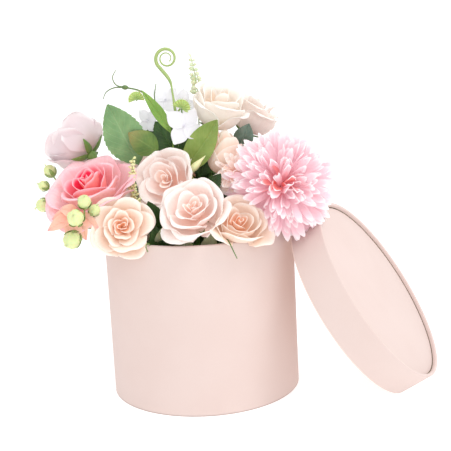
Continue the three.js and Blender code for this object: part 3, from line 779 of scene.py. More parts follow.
CUP_ROSE = [
    (3, 96, [[0.02, -0.46], [0.05, -0.15], [0.08, 0.0], [0.11, 0.12]]),
    (3, 86, [[0.03, -0.52], [0.18, -0.24], [0.25, -0.02], [0.29, 0.15]]),
    (3, 82, [[0.05, -0.6], [0.34, -0.38], [0.46, -0.1], [0.49, 0.16], [0.54, 0.23]]),
    (4, 74, [[0.06, -0.68], [0.46, -0.5], [0.64, -0.18], [0.68, 0.14], [0.77, 0.27]]),
    (4, 70, [[0.07, -0.75], [0.58, -0.58], [0.82, -0.26], [0.88, 0.08], [1.0, 0.22], [1.05, 0.18]]),
]
WIDE_ROSE = [
    (2, 150, [[0.02, -0.35], [0.05, -0.1], [0.07, 0.1], [0.06, 0.22]]),
    (3, 95, [[0.03, -0.4], [0.13, -0.12], [0.17, 0.08], [0.18, 0.23]]),
    (3, 88, [[0.04, -0.45], [0.24, -0.2], [0.31, 0.06], [0.34, 0.22]]),
    (4, 74, [[0.05, -0.52], [0.36, -0.3], [0.46, 0.0], [0.52, 0.18]]),
    (4, 70, [[0.06, -0.62], [0.48, -0.4], [0.64, -0.08], [0.72, 0.12], [0.78, 0.12]]),
    (4, 72, [[0.06, -0.7], [0.58, -0.5], [0.82, -0.2], [0.96, 0.02], [1.06, 0.02]]),
    (5, 60, [[0.07, -0.77], [0.64, -0.6], [0.94, -0.34], [1.1, -0.12], [1.22, -0.12], [1.27, -0.22]]),
]
TALL_ROSE = [
    (2, 120, [[0.02, -0.4], [0.08, 0.0], [0.12, 0.4], [0.1, 0.62]]),
    (3, 84, [[0.03, -0.5], [0.2, -0.1], [0.3, 0.3], [0.3, 0.7]]),
    (3, 80, [[0.05, -0.6], [0.38, -0.3], [0.54, 0.1], [0.6, 0.5], [0.72, 0.74]]),
    (3, 80, [[0.07, -0.74], [0.54, -0.5], [0.8, -0.06], [0.86, 0.36], [1.0, 0.54], [1.06, 0.48]]),
    (3, 66, [[0.07, -0.77], [0.6, -0.6], [0.86, -0.2], [0.94, 0.16], [1.1, 0.3], [1.14, 0.22]]),
]
BUD_ROSE = [
    (2, 170, [[0.02, -0.5], [0.12, 0.0], [0.16, 0.6], [0.06, 1.3]]),
    (3, 100, [[0.04, -0.6], [0.34, -0.2], [0.42, 0.4], [0.3, 0.95], [0.2, 1.34]]),
    (3, 92, [[0.05, -0.7], [0.5, -0.35], [0.64, 0.2], [0.56, 0.75], [0.5, 1.14]]),
    (3, 84, [[0.06, -0.76], [0.6, -0.45], [0.78, 0.1], [0.74, 0.6], [0.82, 0.92]]),
]
BOWL_ROSE = [
    (3, 96, [[0.02, -0.36], [0.06, -0.14], [0.09, 0.02], [0.14, 0.13]]),
    (3, 84, [[0.03, -0.42], [0.16, -0.2], [0.23, 0.0], [0.31, 0.15]]),
    (4, 66, [[0.05, -0.5], [0.3, -0.32], [0.42, -0.06], [0.5, 0.14], [0.58, 0.19]]),
    (4, 68, [[0.06, -0.6], [0.5, -0.46], [0.7, -0.14], [0.78, 0.14], [0.9, 0.2]]),
    (5, 60, [[0.07, -0.75], [0.6, -0.62], [0.86, -0.28], [0.96, 0.04], [1.1, 0.1], [1.14, 0.02]]),
]

# Profiles of single wide petals beyond the layers. A rose lists where each points, its half width in
# degrees and its profile.
SPREAD = [[0.07, -0.77], [0.66, -0.6], [1.0, -0.3], [1.28, -0.14], [1.46, -0.2]]
HANGING = [[0.07, -0.77], [0.7, -0.62], [1.02, -0.34], [1.2, -0.28], [1.34, -0.42]]
ROSES = {
    "rose_pink": dict(
        at=[-87, -30, 187], radius=33, opens=[-0.25, -0.42, 0.87], foot=[-46, -12], style=WIDE_ROSE,
        looks="pink", slot="pink_petals", seed=3, ruffle=1.1, mess=1.1,
        loose=[([-0.4, -1, -0.3], 46, SPREAD)],
    ),
    "rose_front_right": dict(
        at=[34, -67, 157], radius=21, opens=[0.28, -0.62, 0.73], foot=[16, -40], style=CUP_ROSE,
        looks="warm_cream", slot="cream_petals", seed=12, ruffle=0.8, mess=1.1,
        loose=[([1, -0.1, -0.35], 46, SPREAD), ([-0.8, -0.4, -0.5], 40, SPREAD)],
    ),
    "rose_front_centre": dict(
        at=[-2.5, -69, 170.5], radius=24, opens=[-0.14, -0.66, 0.74], foot=[-4, -30], style=BOWL_ROSE,
        looks="blush", slot="blush_petals", seed=21, ruffle=1.0, mess=1.5,
        loose=[([-0.7, -0.4, -0.8], 44, HANGING)],
    ),
    "rose_front_left": dict(
        at=[-58, -71, 158.5], radius=22.8, opens=[0.08, -0.92, 0.38], foot=[-34, -30], style=OPEN_ROSE,
        looks="warm_cream", slot="cream_petals", seed=33, ruffle=1.3, mess=0.9,
    ),
    "rose_centre": dict(
        at=[-24.5, -25, 185], radius=25, opens=[-0.36, -0.8, 0.48], foot=[-16, -10], style=BOWL_ROSE,
        looks="blush", slot="blush_petals", seed=41, ruffle=1.0, mess=1.5,
        loose=[([-1, -0.2, -0.7], 36, SPREAD), ([-0.4, -0.2, -1], 40, HANGING)],
    ),
    "rose_back_left": dict(
        at=[-104, 24, 214], radius=27, opens=[-0.7, 0.45, 0.5], foot=[-50, 12], via=[-64, 16, 158],
        style=CUP_ROSE, looks="mauve", slot="mauve_petals", seed=52, ruffle=1.2, mess=1.4,
    ),
    "rose_top": dict(
        at=[22, 6, 239], radius=21.5, opens=[0.34, -0.3, 0.89], foot=[12, 18], style=TALL_ROSE,
        looks="pale_cream", slot="cream_petals", seed=60, ruffle=0.8, mess=1.2,
    ),
    "rose_top_right": dict(
        at=[52, 30, 227], radius=19.5, opens=[0.5, 0.0, 0.87], foot=[32, 22], style=TALL_ROSE,
        looks="dusty", slot="mauve_petals", seed=71, ruffle=0.8,
    ),
    "rose_bud": dict(
        at=[24, -9, 197.5], radius=18, opens=[0.05, -0.12, 0.98], foot=[12, 2], style=BUD_ROSE,
        looks="cream", slot="cream_petals", seed=80, ruffle=0.3,
    ),
    "rose_rear_left": dict(
        at=[-58, 46, 184], radius=26, opens=[-0.5, 0.62, 0.6], foot=[-34, 30], style=OPEN_ROSE,
        looks="blush", slot="blush_petals", seed=90, ruffle=0.8,
    ),
    "rose_rear_centre": dict(
        at=[2, 62, 182], radius=27, opens=[0.05, 0.8, 0.6], foot=[2, 46], style=OPEN_ROSE,
        looks="cream", slot="cream_petals", seed=101, ruffle=0.9, loose=[([0.5, 0.4, -1], 44, HANGING)],
    ),
    "rose_rear_right": dict(
        at=[62, 44, 176], radius=26, opens=[0.6, 0.6, 0.52], foot=[38, 38], style=PLUMP_ROSE,
        looks="blush", slot="blush_petals", seed=110, ruffle=0.8,
    ),
}

# Where blooms touch, the ones later in this list give way.
FIRM = [
    "rose_front_centre", "rose_front_left", "rose_front_right", "rose_centre", "rose_pink", "rose_top",
    "rose_bud", "rose_back_left", "rose_rear_centre", "rose_rear_left", "rose_rear_right", "rose_top_right",
]


def room(points, rose):
    """Where points are in a rose's room, a flattened ball: under 1 is inside. Also the ball's centre."""
    out = unit(rose["opens"])
    reach = rose["radius"]
    centre = np.array(rose["at"], float) - out * 0.15 * reach
    offset = points - centre
    height = offset @ out
    radial = np.sqrt(np.maximum((offset**2).sum(axis=-1) - height**2, 0))
    return np.sqrt((radial / (0.98 * reach)) ** 2 + (height / (0.6 * reach)) ** 2), centre


def give_way(points, name):
    """Presses a bloom's petals out of the rooms of the firmer blooms round it."""
    for other in FIRM[: FIRM.index(name)]:
        inside, centre = room(points, ROSES[other])
        factor = np.where(inside < 1, 1 / np.maximum(inside, 0.35), 1)
        points = centre + (points - centre) * factor[..., None]
    return points


def rose_petals(name, flower):
    rng = np.random.default_rng(flower["seed"])
    rotation = turn_to(flower["opens"]) @ turn_about([0, 0, 1], rng.uniform(0, 6))
    shape = Shape()

    def place_petal(surface, shares):
        placed = surface * flower["radius"] @ rotation.T + np.array(flower["at"], float)
        shape.sheet(give_way(placed, name), PETAL_THICKNESS, shares, rear=OUTER_SIDE)

    layers = flower["style"]
    mess = flower.get("mess", 1.0)
    for j, (count, spread, line) in enumerate(layers):
        start = 2.4 * j + rng.uniform(0, 0.5)
        share = j / (len(layers) - 1)
        sway = rng.uniform(0, 2 * math.pi)
        tipped = turn_about(
            [math.cos(sway), math.sin(sway), 0], rng.uniform(0.04, 0.12) * mess * (1 - share),
        )
        for i in range(count):
            angle = start + (i + rng.uniform(-0.12, 0.12) * mess) / count * 2 * math.pi
            own = np.array(line, float)
            own[1:, 0] *= 1 + rng.uniform(-0.05, 0.05) * mess
            own[1:, 1] += rng.uniform(-0.05, 0.05) * (0.5 + share) * mess
            half = math.radians(spread) * rng.uniform(0.9, 1.1)
            ruffle = flower["ruffle"] * (0.5 + 0.5 * share)
            surface, shares = rose_petal(rng, own, angle, half, share, ruffle, mess)
            place_petal(surface @ tipped.T, shares)
    for towards, spread, line in flower.get("loose", []):
        x, y, _ = rotation.T @ unit(towards)
        surface, shares = rose_petal(
            rng, line, math.atan2(y, x), math.radians(spread), 1.0, flower["ruffle"] * 1.3,
        )
        place_petal(surface, shares)
    return shape


def stem_route(foot, points):
    levels = [FOAM_TOP - STEM_DEPTH, FOAM_TOP - 1, FOAM_TOP + 2]
    return [[*foot, z] for z in levels] + [list(p) for p in points]


SEPALS = 5
ROSE_BACK = 0.8  # how far behind its centre a bloom sits on its cup, in radii
MUM_BACK = 0.55


def flower_stalk(flower, back_share, seed):
    """The stem from the foam, the green cup and the sepals under a bloom."""
    rng = np.random.default_rng(seed)
    shape = Shape()
    out = unit(flower["opens"])
    radius = flower["radius"]
    back = np.array(flower["at"], float) - out * (radius * back_share + 0.7)
    end = back - out * 3
    near = end - out * 7
    foot = flower["foot"]
    way = flower.get("via") or (np.array([*foot, FOAM_TOP]) + near) / 2
    path = smooth_path(stem_route(foot, [way, near, end]), 44)
    along = np.linspace(0, 1, len(path))
    radii = 1.45 + 0.12 * np.sin(along * 47)
    shape.tube(path, radii, 12, np.column_stack([along * 0, along, along * 0]))
    rotation = turn_to(out)
    cup = [
        [0, -6.0], [1.8, -6.0], [2.6, -4.6], [3.9, -2.6], [4.5, -0.6], [4.4, 0.3], [3.0, 0.8], [0, 0.8],
    ]
    shape.lathe(cup, 20, rotation, back, (0, 0.9, 0.1), lobes=lambda a: 1 + 0.05 * np.cos(a * 5))
    for i in range(SEPALS):
        angle = (i + rng.uniform(-0.1, 0.1)) / SEPALS * 2 * math.pi
        reach = rng.uniform(0.42, 0.62) * radius
        v, u = grid(10, 5)
        half = 3.4 * np.sin(np.pi * (0.18 + 0.82 * v)) ** 0.8 * (1 - v * 0.3) + 0.15
        r = 3.6 + v * reach
        z = 0.1 + (0.07 * reach * v + 0.34 * reach * v**2.2) + 0.5 * u * u
        z -= rng.uniform(0.8, 2.4) * v
        theta = angle + u * half / np.maximum(r, 3)
        surface = np.stack([r * np.cos(theta), r * np.sin(theta), z], axis=2)
        surface = surface @ rotation.T + back
        shape.sheet(surface[::-1], LEAF_THICKNESS, np.stack([u, 0.6 + 0.4 * v, 0 * v], axis=2)[::-1])
    return shape


def bloom_pieces(name, flower, petals, stalk):
    look = PETALS[flower["looks"]]
    make_object(
        f"{name}_petals", petals, look, "insert", [f"{name}_bloom"], settle=over_rim,
    )
    make_object(f"{name}_stalk", stalk, STEM, "insert", [f"{name}_stem"], settle=off_lid)


for index, (name, flower) in enumerate(ROSES.items()):
    bloom_pieces(name, flower, rose_petals(name, flower), flower_stalk(flower, ROSE_BACK, seed=index))


# ---------------------------------------------------------------- chrysanthemums
# petals is how many places are tried; a petal that would reach into a rose is left out.
MUMS = {
    "mum_large": dict(
        at=[68.5, -44, 179.5], radius=46, opens=[0.06, -0.93, 0.36], foot=[38, -14], petals=350,
        width=0.064, looks="mum", slot="pink_petals", seed=7,
    ),
    "mum_small": dict(
        at=[33, -30, 188], radius=20, opens=[-0.1, -0.95, 0.25], foot=[24, -6], petals=96, width=0.12,
        looks="mum_small", slot="cream_petals", seed=8,
    ),
}


def mum_petals(flower):
    """Strap petals all round a half ball, the short ones of the heart leaning every way."""
    rng = np.random.default_rng(flower["seed"])
    rotation = turn_to(flower["opens"])
    shape = Shape()
    count = flower["petals"]
    widest = math.cos(math.radians(122))
    rows, columns = 13, 7
    v, u = grid(rows, columns)
    for i in range(count):
        height = 1 - (i + 0.5) / count * (1 - widest)
        polar = math.acos(height) + rng.uniform(-0.06, 0.06)
        around = i * GOLDEN_TURN + rng.uniform(-0.08, 0.08)
        share = min(polar / math.radians(100), 1)
        out = np.array(
            [math.sin(polar) * math.cos(around), math.sin(polar) * math.sin(around), math.cos(polar)]
        )
        face = np.array(
            [-math.cos(polar) * math.cos(around), -math.cos(polar) * math.sin(around), math.sin(polar)]
        )
        messy = (1 - share) ** 1.5
        face = turn_about(out, rng.normal(0, 0.2 + 1.1 * messy)) @ face
        out = unit(out + rng.normal(0, 0.08 + 0.24 * messy, 3))
        side = unit(np.cross(out, face))
        face = np.cross(side, out)
        length = rng.uniform(0.84, 1.05) - 0.12 * messy - rng.uniform(0, 0.2) * messy
        root = 0.12 + 0.1 * share
        half = flower["width"] * rng.uniform(0.85, 1.2)
        lobes = rng.integers(1, 3)
        tip = 1 - 0.09 * np.abs(u) ** 3 + 0.012 * np.cos(u * math.pi * lobes) * v**6
        reach = root + (length - root) * v * tip
        width = half * (0.42 + 0.58 * smoothstep(0, 0.5, v)) * (1 - 0.3 * smoothstep(0.9, 1.0, v))
        bend = rng.uniform(0.0, 0.1) * (1 - 2.2 * share) * v**2 + rng.normal(
            0, 0.05 + 0.06 * messy,
        ) * v**2
        cup = rng.uniform(0.2, 0.6) * half
        lift = bend + cup * u * u * (0.4 + 0.6 * v) - rng.uniform(0.2, 1.4) * cup * v**4
        surface = (
            out * reach[..., None]
            + side * (u * width)[..., None]
            + face * lift[..., None]
            + side * (rng.normal(0, 0.05) * v**2)[..., None]
        )
        surface += np.array([0, 0, -0.18 + 0.1 * (1 - share)])
        placed = surface * flower["radius"] @ rotation.T + np.array(flower["at"], float)
        if all(room(placed, rose)[0].min() > 1 for rose in ROSES.values()):
            shape.sheet(placed, PETAL_THICKNESS, np.stack([u, v, np.full_like(u, share)], axis=2))
    return shape


for index, (name, flower) in enumerate(MUMS.items()):
    bloom_pieces(name, flower, mum_petals(flower), flower_stalk(flower, MUM_BACK, seed=40 + index))


# ---------------------------------------------------------------- leaves
# Each row gives the face, its darker clouds, the veins and, for some, the tip.
LEAF_COLOURS = {
    "sage": [(128, 162, 108), (104, 142, 90), (156, 184, 136)],
    "fresh": [(154, 176, 92), (130, 158, 72), (170, 188, 110), (122, 150, 66)],
    "olive": [(108, 134, 58), (74, 108, 42), (140, 160, 86), (146, 136, 80)],
    "dark": [(56, 94, 34), (34, 66, 22), (92, 130, 62)],
    "teal": [(118, 142, 128), (92, 118, 104), (146, 166, 150)],
    "pod": [(128, 164, 70), (106, 148, 54), (178, 200, 124)],
    "pale": [(196, 200, 166), (166, 176, 130), (212, 212, 184)],
}
LEAF_LOOKS = {look: leaf_material(f"{look}_leaf", *colours) for look, colours in LEAF_COLOURS.items()}
LEAVES = {
    "leaf_large_left": ([-47, -4, 196], [-69.5, 0, 246], 33, [0.1, -1, 0.1], 0.12, 5, [-40, 8], "sage"),
    "leaf_dark_left": (
        [-30, -9, 206], [-53, -11, 223], 21, [-0.1, -0.9, 0.3], -0.2, 3, [-34, 20], "olive",
    ),
    "leaf_upright": (
        [-9, -8, 190], [20.5, -32, 232.5], 25, [-0.2, -0.9, 0.3], 0.16, -4, [0, -12], "fresh",
    ),
    "leaf_dark_centre": ([-17, 0, 203], [-31, 0, 230], 21, [0.2, -1, 0.1], 0.15, 2, [-14, 4], "dark"),
    "leaf_dark_right": ([6, -34, 172], [21, -38, 190], 14, [0.2, -1, 0.2], 0.1, 2, [6, -20], "dark"),
    "leaf_blue": ([38, 12, 203], [47, 8, 223], 17, [0, -1, 0.2], 0.1, 2, [24, 10], "teal"),
    "leaf_front_left": ([-30, -50, 136], [-26, -64, 155], 12, [0.2, -1, 0.2], 0.1, 2, [-20, -42], "pale"),
    "leaf_front_centre": (
        [-13, -58, 128], [-8, -66, 146], 16, [0, -1, 0.2], 0.1, 1.5, [-10, -50], "pale",
    ),
    "leaf_front_right": ([8, -58, 129], [11, -66, 147], 14, [0, -1, 0.3], 0.1, 1.5, [4, -54], "pale"),
    "leaf_twisted": ([-18, -6, 221], [-40, -8, 257], 9.5, [0.3, -1, 0.2], 0.2, 2, [-18, 30], "pod"),
    "leaf_rear_left": ([-30, 58, 150], [-40, 84, 176], 24, [-0.3, 0.8, -0.3], 0.1, -4, [-18, 50], "sage"),
    "leaf_rear_right": ([36, 62, 148], [48, 84, 170], 24, [0.4, 0.8, -0.4], 0.1, -4, [22, 54], "fresh"),
}
SERRATED = {
    "leaf_large_left": 0.035, "leaf_dark_centre": 0.1, "leaf_dark_right": 0.1, "leaf_rear_left": 0.04,
}
SERRATIONS = 13


def leaf_blade(shape, base, tip, width, normal, cup, arch, teeth=0.0, rows=79, columns=15, seed=0):
    """A blade from base to tip that faces its normal, folded a little along its rib."""
    rng = np.random.default_rng(seed)
    root, end = np.array(base, float), np.array(tip, float)
    along = end - root
    across = unit(np.cross(normal, along))
    up = unit(np.cross(along, across))
    v, u = grid(rows, columns)
    outline = np.maximum(0.02, np.sin(np.pi * np.clip(v, 0, 1) ** 0.85)) ** 0.8
    saw = 1 + teeth * (1 - 2 * ((v * SERRATIONS) % 1)) * np.abs(u) ** 4
    half = width / 2 * outline * saw
    ripple = rng.uniform(0.3, 0.8) * np.sin(v * rng.uniform(6, 9) + np.sign(u) * 1.5) * np.abs(u) ** 2
    lift = arch * np.sin(np.pi * v) + cup * np.abs(u) * half * 1.2 + ripple
    lift -= 0.25 * np.exp(-((u / 0.08) ** 2))
    surface = root + along * v[..., None] + across * (u * half)[..., None] + up * lift[..., None]
    shares = np.stack([u, v, 0 * u], axis=2)
    flipped = np.cross(along, across) @ up > 0
    shape.sheet(
        surface if flipped else surface[:, ::-1], LEAF_THICKNESS,
        shares if flipped else shares[:, ::-1],
    )
    return along


for index, (name, (base, tip, width, normal, cup, arch_height, foot, look)) in enumerate(LEAVES.items()):
    shape = Shape()
    along = leaf_blade(
        shape, base, tip, width, normal, cup, arch_height, SERRATED.get(name, 0.0), seed=index,
    )
    root = np.array(base, float)
    way = np.array([*foot, FOAM_TOP]) * 0.4 + root * 0.6
    path = smooth_path(stem_route(foot, [way, root, root + unit(along) * 3]), 30)
    shape.tube(path, np.linspace(1.0, 0.7, 30), 10, (1, 0.0, 0))
    make_object(f"{name}_blade", shape, LEAF_LOOKS[look], "insert", [name], settle=off_lid)

# A small pointed flower half hidden under the pink rose.
STAR_CENTRE = [-92, -62, 169]
STAR_TIPS = [
    [-118, -60, 155], [-114, -58, 164], [-103, -64, 150.5], [-86.5, -70, 148], [-76.5, -68, 157],
    [-106, -62, 173],
]
shape = Shape()
for i, tip in enumerate(STAR_TIPS):
    leaf_blade(shape, STAR_CENTRE, tip, 10.5, [-0.2, -1, 0.3], 0.3, 2.0, rows=25, seed=120 + i)
shape.shares = [share + [0, 0, 1] for share in shape.shares]
make_object("star_petals", shape, PETALS["peach"], "insert", [], settle=over_rim)

FILLERS = 18
rng = np.random.default_rng(23)
shape = Shape()
for i in range(FILLERS):
    turn = i * GOLDEN_TURN
    reach = 16 + 30 * math.sqrt((i + 0.5) / FILLERS)
    direction = np.array([math.cos(turn), math.sin(turn), 0])
    base = direction * reach * 0.5 + [0, 0, 132 + rng.uniform(-4, 8)]
    tip = direction * reach + [0, 0, 196 - reach * 0.7 + rng.uniform(-8, 8)]
    normal = direction + [0, 0, 0.3]
    leaf_blade(shape, base, tip, rng.uniform(17, 25), normal, 0.12, -3, 0.05, seed=60 + i)
    foot = direction * reach * 0.4
    path = smooth_path(
        [[foot[0], foot[1], FOAM_TOP - 6], base * 0.5 + [foot[0] / 2, foot[1] / 2, 60], base], 8,
    )
    shape.tube(path, 0.8, 8, (1, 0, 0))
GAPS = [
    ([-23, 8, 196], [-38, 10, 226], 20),
    ([2, 6, 186], [-8, 10, 222], 22),
    ([4, -10, 184], [14, -4, 210], 20),
    ([-44, -22, 160], [-52, -14, 190], 20),
    ([-32, -30, 140], [-38, -46, 172], 20),
    ([-30, -52, 128], [-34, -56, 154], 16),
    ([-12, -46, 132], [-22, -56, 158], 18),
    ([22, -40, 136], [10, -50, 164], 20),
    ([34, 2, 180], [44, 6, 208], 18),
    ([8, 26, 165], [10, 32, 212], 22),
    ([-14, 26, 165], [-18, 32, 208], 22),
    ([26, 22, 165], [32, 26, 206], 22),
    ([38, 8, 150], [50, 12, 194], 22),
    ([36, -4, 156], [44, -2, 196], 20),
    ([-42, 0, 150], [-56, 4, 184], 22),
]
for i, (base, tip, width) in enumerate(GAPS):
    normal = [0.1, -1, 0.25] if abs(tip[0]) < 40 else [1, -0.5, 0.25]
    leaf_blade(shape, base, tip, width, normal, 0.14, 2.5, 0.06, seed=90 + i)
    base = np.array(base, float)
    foot = base * [0.5, 0.5, 0] + [0, 0, FOAM_TOP - 6]
    shape.twig([foot, base * 0.5 + foot * 0.5, base], 8, 0.8, 0.8, 8, (1, 0, 0))
make_object("filler_leaves", shape, LEAF_LOOKS["dark"], "insert", [])

foam = foam_shape([f["foot"] for f in [*ROSES.values(), *MUMS.values()]])
make_object("foam_core", foam, FOAM, "insert", ["foam_block"])


# ---------------------------------------------------------------- berries
BERRY = shoot_material("berry", (110, 140, 60), (210, 220, 152), (236, 240, 200))
BERRY_SPRAYS = {
    "berry_spray_upper": dict(
        foot=[-60, 4], way=[-76, 6, 152], fork=[-108, 6, 170],
        berries=[[-129, 6, 179.5, 4.2], [-124, 14, 190.5, 5], [-129, -4, 165, 5.6]],
    ),
    "berry_spray_lower": dict(
        foot=[-50, -24], way=[-72, -40, 148], fork=[-89, -58, 156],
        berries=[
            [-85, -76, 180, 5.2], [-92, -80, 168.5, 6.6], [-79, -66, 171, 4.4], [-97, -73, 150, 6.8],
        ],
    ),
}


def berry(shape, centre, out, radius, seed):
    """A ribbed bud of five folds with a leafy collar and a few dry points at its end."""
    rng = np.random.default_rng(seed)
    rotation = turn_to(out) @ turn_about([0, 0, 1], rng.uniform(0, 6))
    levels = np.linspace(0, math.pi, 15)
    profile = []
    for a in levels:
        profile.append([math.sin(a) * radius * (1 - 0.12 * math.cos(a)), -math.cos(a) * radius * 1.12])
    profile[0][0] = profile[-1][0] = 0
    shape.lathe(
        profile, 40, rotation, centre, (0, 0.95, 0.2),
        lobes=lambda a: 1 - 0.09 * np.abs(np.cos(a * 2.5)) ** 6,
    )
    for i in range(5):
        angle = i / 5 * 2 * math.pi + 0.6
        v, u = grid(8, 5)
        half = radius * 0.34 * np.sin(np.pi * (0.15 + 0.85 * v)) + 0.1
        polar = math.pi * (0.04 + 0.5 * v)
        r = np.sin(polar) * radius * 1.08 + 0.3 * v
        z = -np.cos(polar) * radius * 1.2
        theta = angle + u * half / np.maximum(r, radius * 0.3)
        surface = np.stack([r * np.cos(theta), r * np.sin(theta), z], axis=2) @ rotation.T + centre
        shape.sheet(surface[:, ::-1], 0.3, np.stack([u, 0.2 + 0.2 * v, 0 * v], axis=2)[:, ::-1])
    for i in range(4):
        lean = rng.normal(0, 0.35, 3)
        end = unit(out) + lean
        start = centre + unit(out) * radius * 1.05
        mid = start + unit(end) * radius * 0.35
        tip = mid + unit(end + rng.normal(0, 0.5, 3)) * radius * 0.3
        shape.twig([start, mid, tip], 6, 0.35, 0.12, 6, (0, 0.5, 0.6))


for index, (name, spray) in enumerate(BERRY_SPRAYS.items()):
    shape = Shape()
    fork = np.array(spray["fork"], float)
    path = smooth_path(stem_route(spray["foot"], [spray["way"], fork]), 34)
    shape.tube(path, np.linspace(1.2, 0.9, 34), 10, (0, 0.2, 0))
    for j, (*centre, radius) in enumerate(spray["berries"]):
        centre = np.array(centre, float)
        out = centre - fork
        bend = fork + out * 0.5 + [0, 0, -2]
        shape.twig([fork, bend, centre], 14, 0.85, 0.6, 8, (0, 0.35, 0))
        berry(shape, centre, out, radius, 10 * index + j)
    make_object(f"{name}_buds", shape, BERRY, "insert", [name])


# ---------------------------------------------------------------- florets
FLORETS = dict(
    foot=[-4, 10],
    hub=[-10, 12, 222],
    heads=[
        ([-7, -9, 226], 12.5, [0, -0.95, 0.3]),
        ([-22, 8, 246], 10, [0.1, -0.9, 0.4]),
        ([-37, 5, 230], 8.5, [-0.4, -0.85, 0.3]),
        ([-10, 38, 236], 10, [-0.1, 0.7, 0.7]),
        ([-9, 26, 241], 9, [0.1, -0.8, 0.5]),
    ],
)


FLORET_SPREAD = 1.35  # the loose petals reach past their CAD solid
FLORET_PETALS = 4


def floret(shape, at, radius, faces, seed):
    rng = np.random.default_rng(seed)
    rotation = turn_to(faces) @ turn_about([0, 0, 1], rng.uniform(0, 1.5))
    v, u = grid(14, 13)
    for i in range(FLORET_PETALS):
        angle = i / FLORET_PETALS * 2 * math.pi + rng.uniform(-0.1, 0.1)
        reach = radius * FLORET_SPREAD * rng.uniform(0.94, 1.06)
        half = reach * 0.42 * np.sin(np.pi * (0.07 + 0.89 * v)) ** 0.7
        r = 0.6 + reach * v * (1 - 0.1 * u * u)
        z = 0.14 * reach * v * v + 0.05 * reach * u * u * (1 - v) - 0.03 * reach * np.sin(v * 3) * (i % 2)
        z += 0.6 * np.sin(u * 3 + i) * v * v + 0.5 * (i % 2)
        x = r * math.cos(angle) - u * half * math.sin(angle)
        y = r * math.sin(angle) + u * half * math.cos(angle)
        surface = np.stack([x, y, z], axis=2) @ rotation.T + np.array(at, float)
        shape.sheet(surface, 0.35, np.stack([u, v, np.ones_like(v)], axis=2))
    for i in range(5):
        start = np.array(at, float)
        lean = rotation @ np.array([math.cos(i * 1.26) * 0.5, math.sin(i * 1.26) * 0.5, 1.0])
        shape.tube(
            smooth_path([start, start + lean * 1.0, start + lean * 2.2], 5),
            [0.3, 0.28, 0.25, 0.5, 0.3], 6, (0, 0.1, 0.2),
        )


petal_shape, twig_shape = Shape(), Shape()
hub = np.array(FLORETS["hub"], float)
twig_shape.twig(stem_route(FLORETS["foot"], [[-6, 11, 180], hub]), 30, 1.1, 0.9, 10, (0, 0.3, 0))
for index, (at, radius, faces) in enumerate(FLORETS["heads"]):
    floret(petal_shape, at, radius, faces, index)
    end = np.array(at, float)
    twig_shape.twig([hub, hub * 0.5 + end * 0.5, end], 10, 0.8, 0.6, 8, (0, 0.6, 0))
make_object("floret_petals", petal_shape, PETALS["floret"], "insert", ["floret_spray"])
make_object("floret_twigs", twig_shape, STEM, "insert", ["floret_spray"])


# ---------------------------------------------------------------- fern, vine and sprig
CURL = shoot_material("curl", (166, 188, 116), (140, 164, 96), (186, 204, 134))
FERN_CENTRE = np.array([-19.5, 18, 280.0])
fern_points = [[-11, 14, 190], [-13, 6, 222], [-14, -3, 240], [-15.5, 5, 252], [-18, 18, 262]]
FERN_STEPS = 40
for t in np.linspace(0, 1, FERN_STEPS):
    angle = math.radians(232 - 360 * 1.78 * t)
    radius = 9.6 + (3.4 - 9.6) * t**0.85
    fern_points.append(FERN_CENTRE + [math.cos(angle) * radius, 0, math.sin(angle) * radius])
fern_path = smooth_path(stem_route([-8, 22], fern_points), 190)
fern_level = np.linspace(0, 1, 190)
fern_radii = 1.5 - 0.7 * smoothstep(0.5, 0.66, fern_level) + 0.75 * smoothstep(0.66, 0.72, fern_level)
fern_radii -= 1.1 * smoothstep(0.74, 1.0, fern_level)
shape = Shape()
shape.tube(
    fern_path, fern_radii, 14, np.column_stack([fern_level * 0, fern_level, 0.5 * (fern_level > 0.7)]),
)
make_object("fern_spiral", shape, CURL, "insert", ["fern_curl"])

VINE_LOOK = shoot_material("vine", (92, 120, 66), (104, 128, 82), (150, 172, 110))
shape = Shape()
knot = np.array([-54, -2, 259.5])
vine_way = [[-25, 12, 206], [-24, 4, 226], [-31, 0, 247], [-42, -1, 256], knot]
shape.twig(stem_route([-26, 12], vine_way), 60, 1.2, 0.65, 10, (0, 0.4, 0))
for route in (
    [[-61, -3, 262], [-63.5, -3, 268], [-60.5, -2, 274]],
    [[-63, -1, 259.5], [-70, 1, 256], [-73, 2, 250.5]],
):
    shape.twig([knot, *route], 24, 0.65, 0.3, 8, (0, 0.8, 0))
knot_profile = [[0, -3.2], [0.8, -2.8], [1.7, -1.4], [2.0, 0], [1.6, 1.4], [0.7, 2.8], [0, 3.2]]
shape.lathe(knot_profile, 16, turn_to([-1, 0, 0.1]), knot, (0, 0.1, 0))
make_object("vine_tendrils", shape, VINE_LOOK, "insert", ["pea_tendril"])

SPRIG_LOOK = shoot_material("sprig", (150, 172, 110), (206, 216, 172), (232, 236, 208))
lowest, top = np.array([5, 22, 252.0]), np.array([1, 18, 281.0])
shape = Shape()
shape.twig(stem_route([4, 32], [[4, 29, 205], lowest, top]), 46, 0.95, 0.4, 8, (0, 0.6, 0))
rng = np.random.default_rng(17)
BUD_RADII = np.array([0.3, 0.5, 1.0, 1.6, 2.0, 2.0, 1.6, 0.9, 0.3])
for i in range(8):
    level = lowest + (top - lowest) * (i - 0.8) / 7.4
    size = 1.15 - 0.09 * i
    for side in (-1, 1):
        tip = level + np.array(
            [side * rng.uniform(4.6, 6.6) * size, rng.uniform(-2, 2), rng.uniform(0.5, 3.6) * size]
        )
        middle = (level + tip) / 2 + [0, 0, 0.7]
        mark = rng.uniform(0.0, 0.8)
        shape.tube(
            smooth_path([level, middle, tip], 9), BUD_RADII * size * rng.uniform(0.9, 1.45), 9,
            (0, 1, mark),
        )
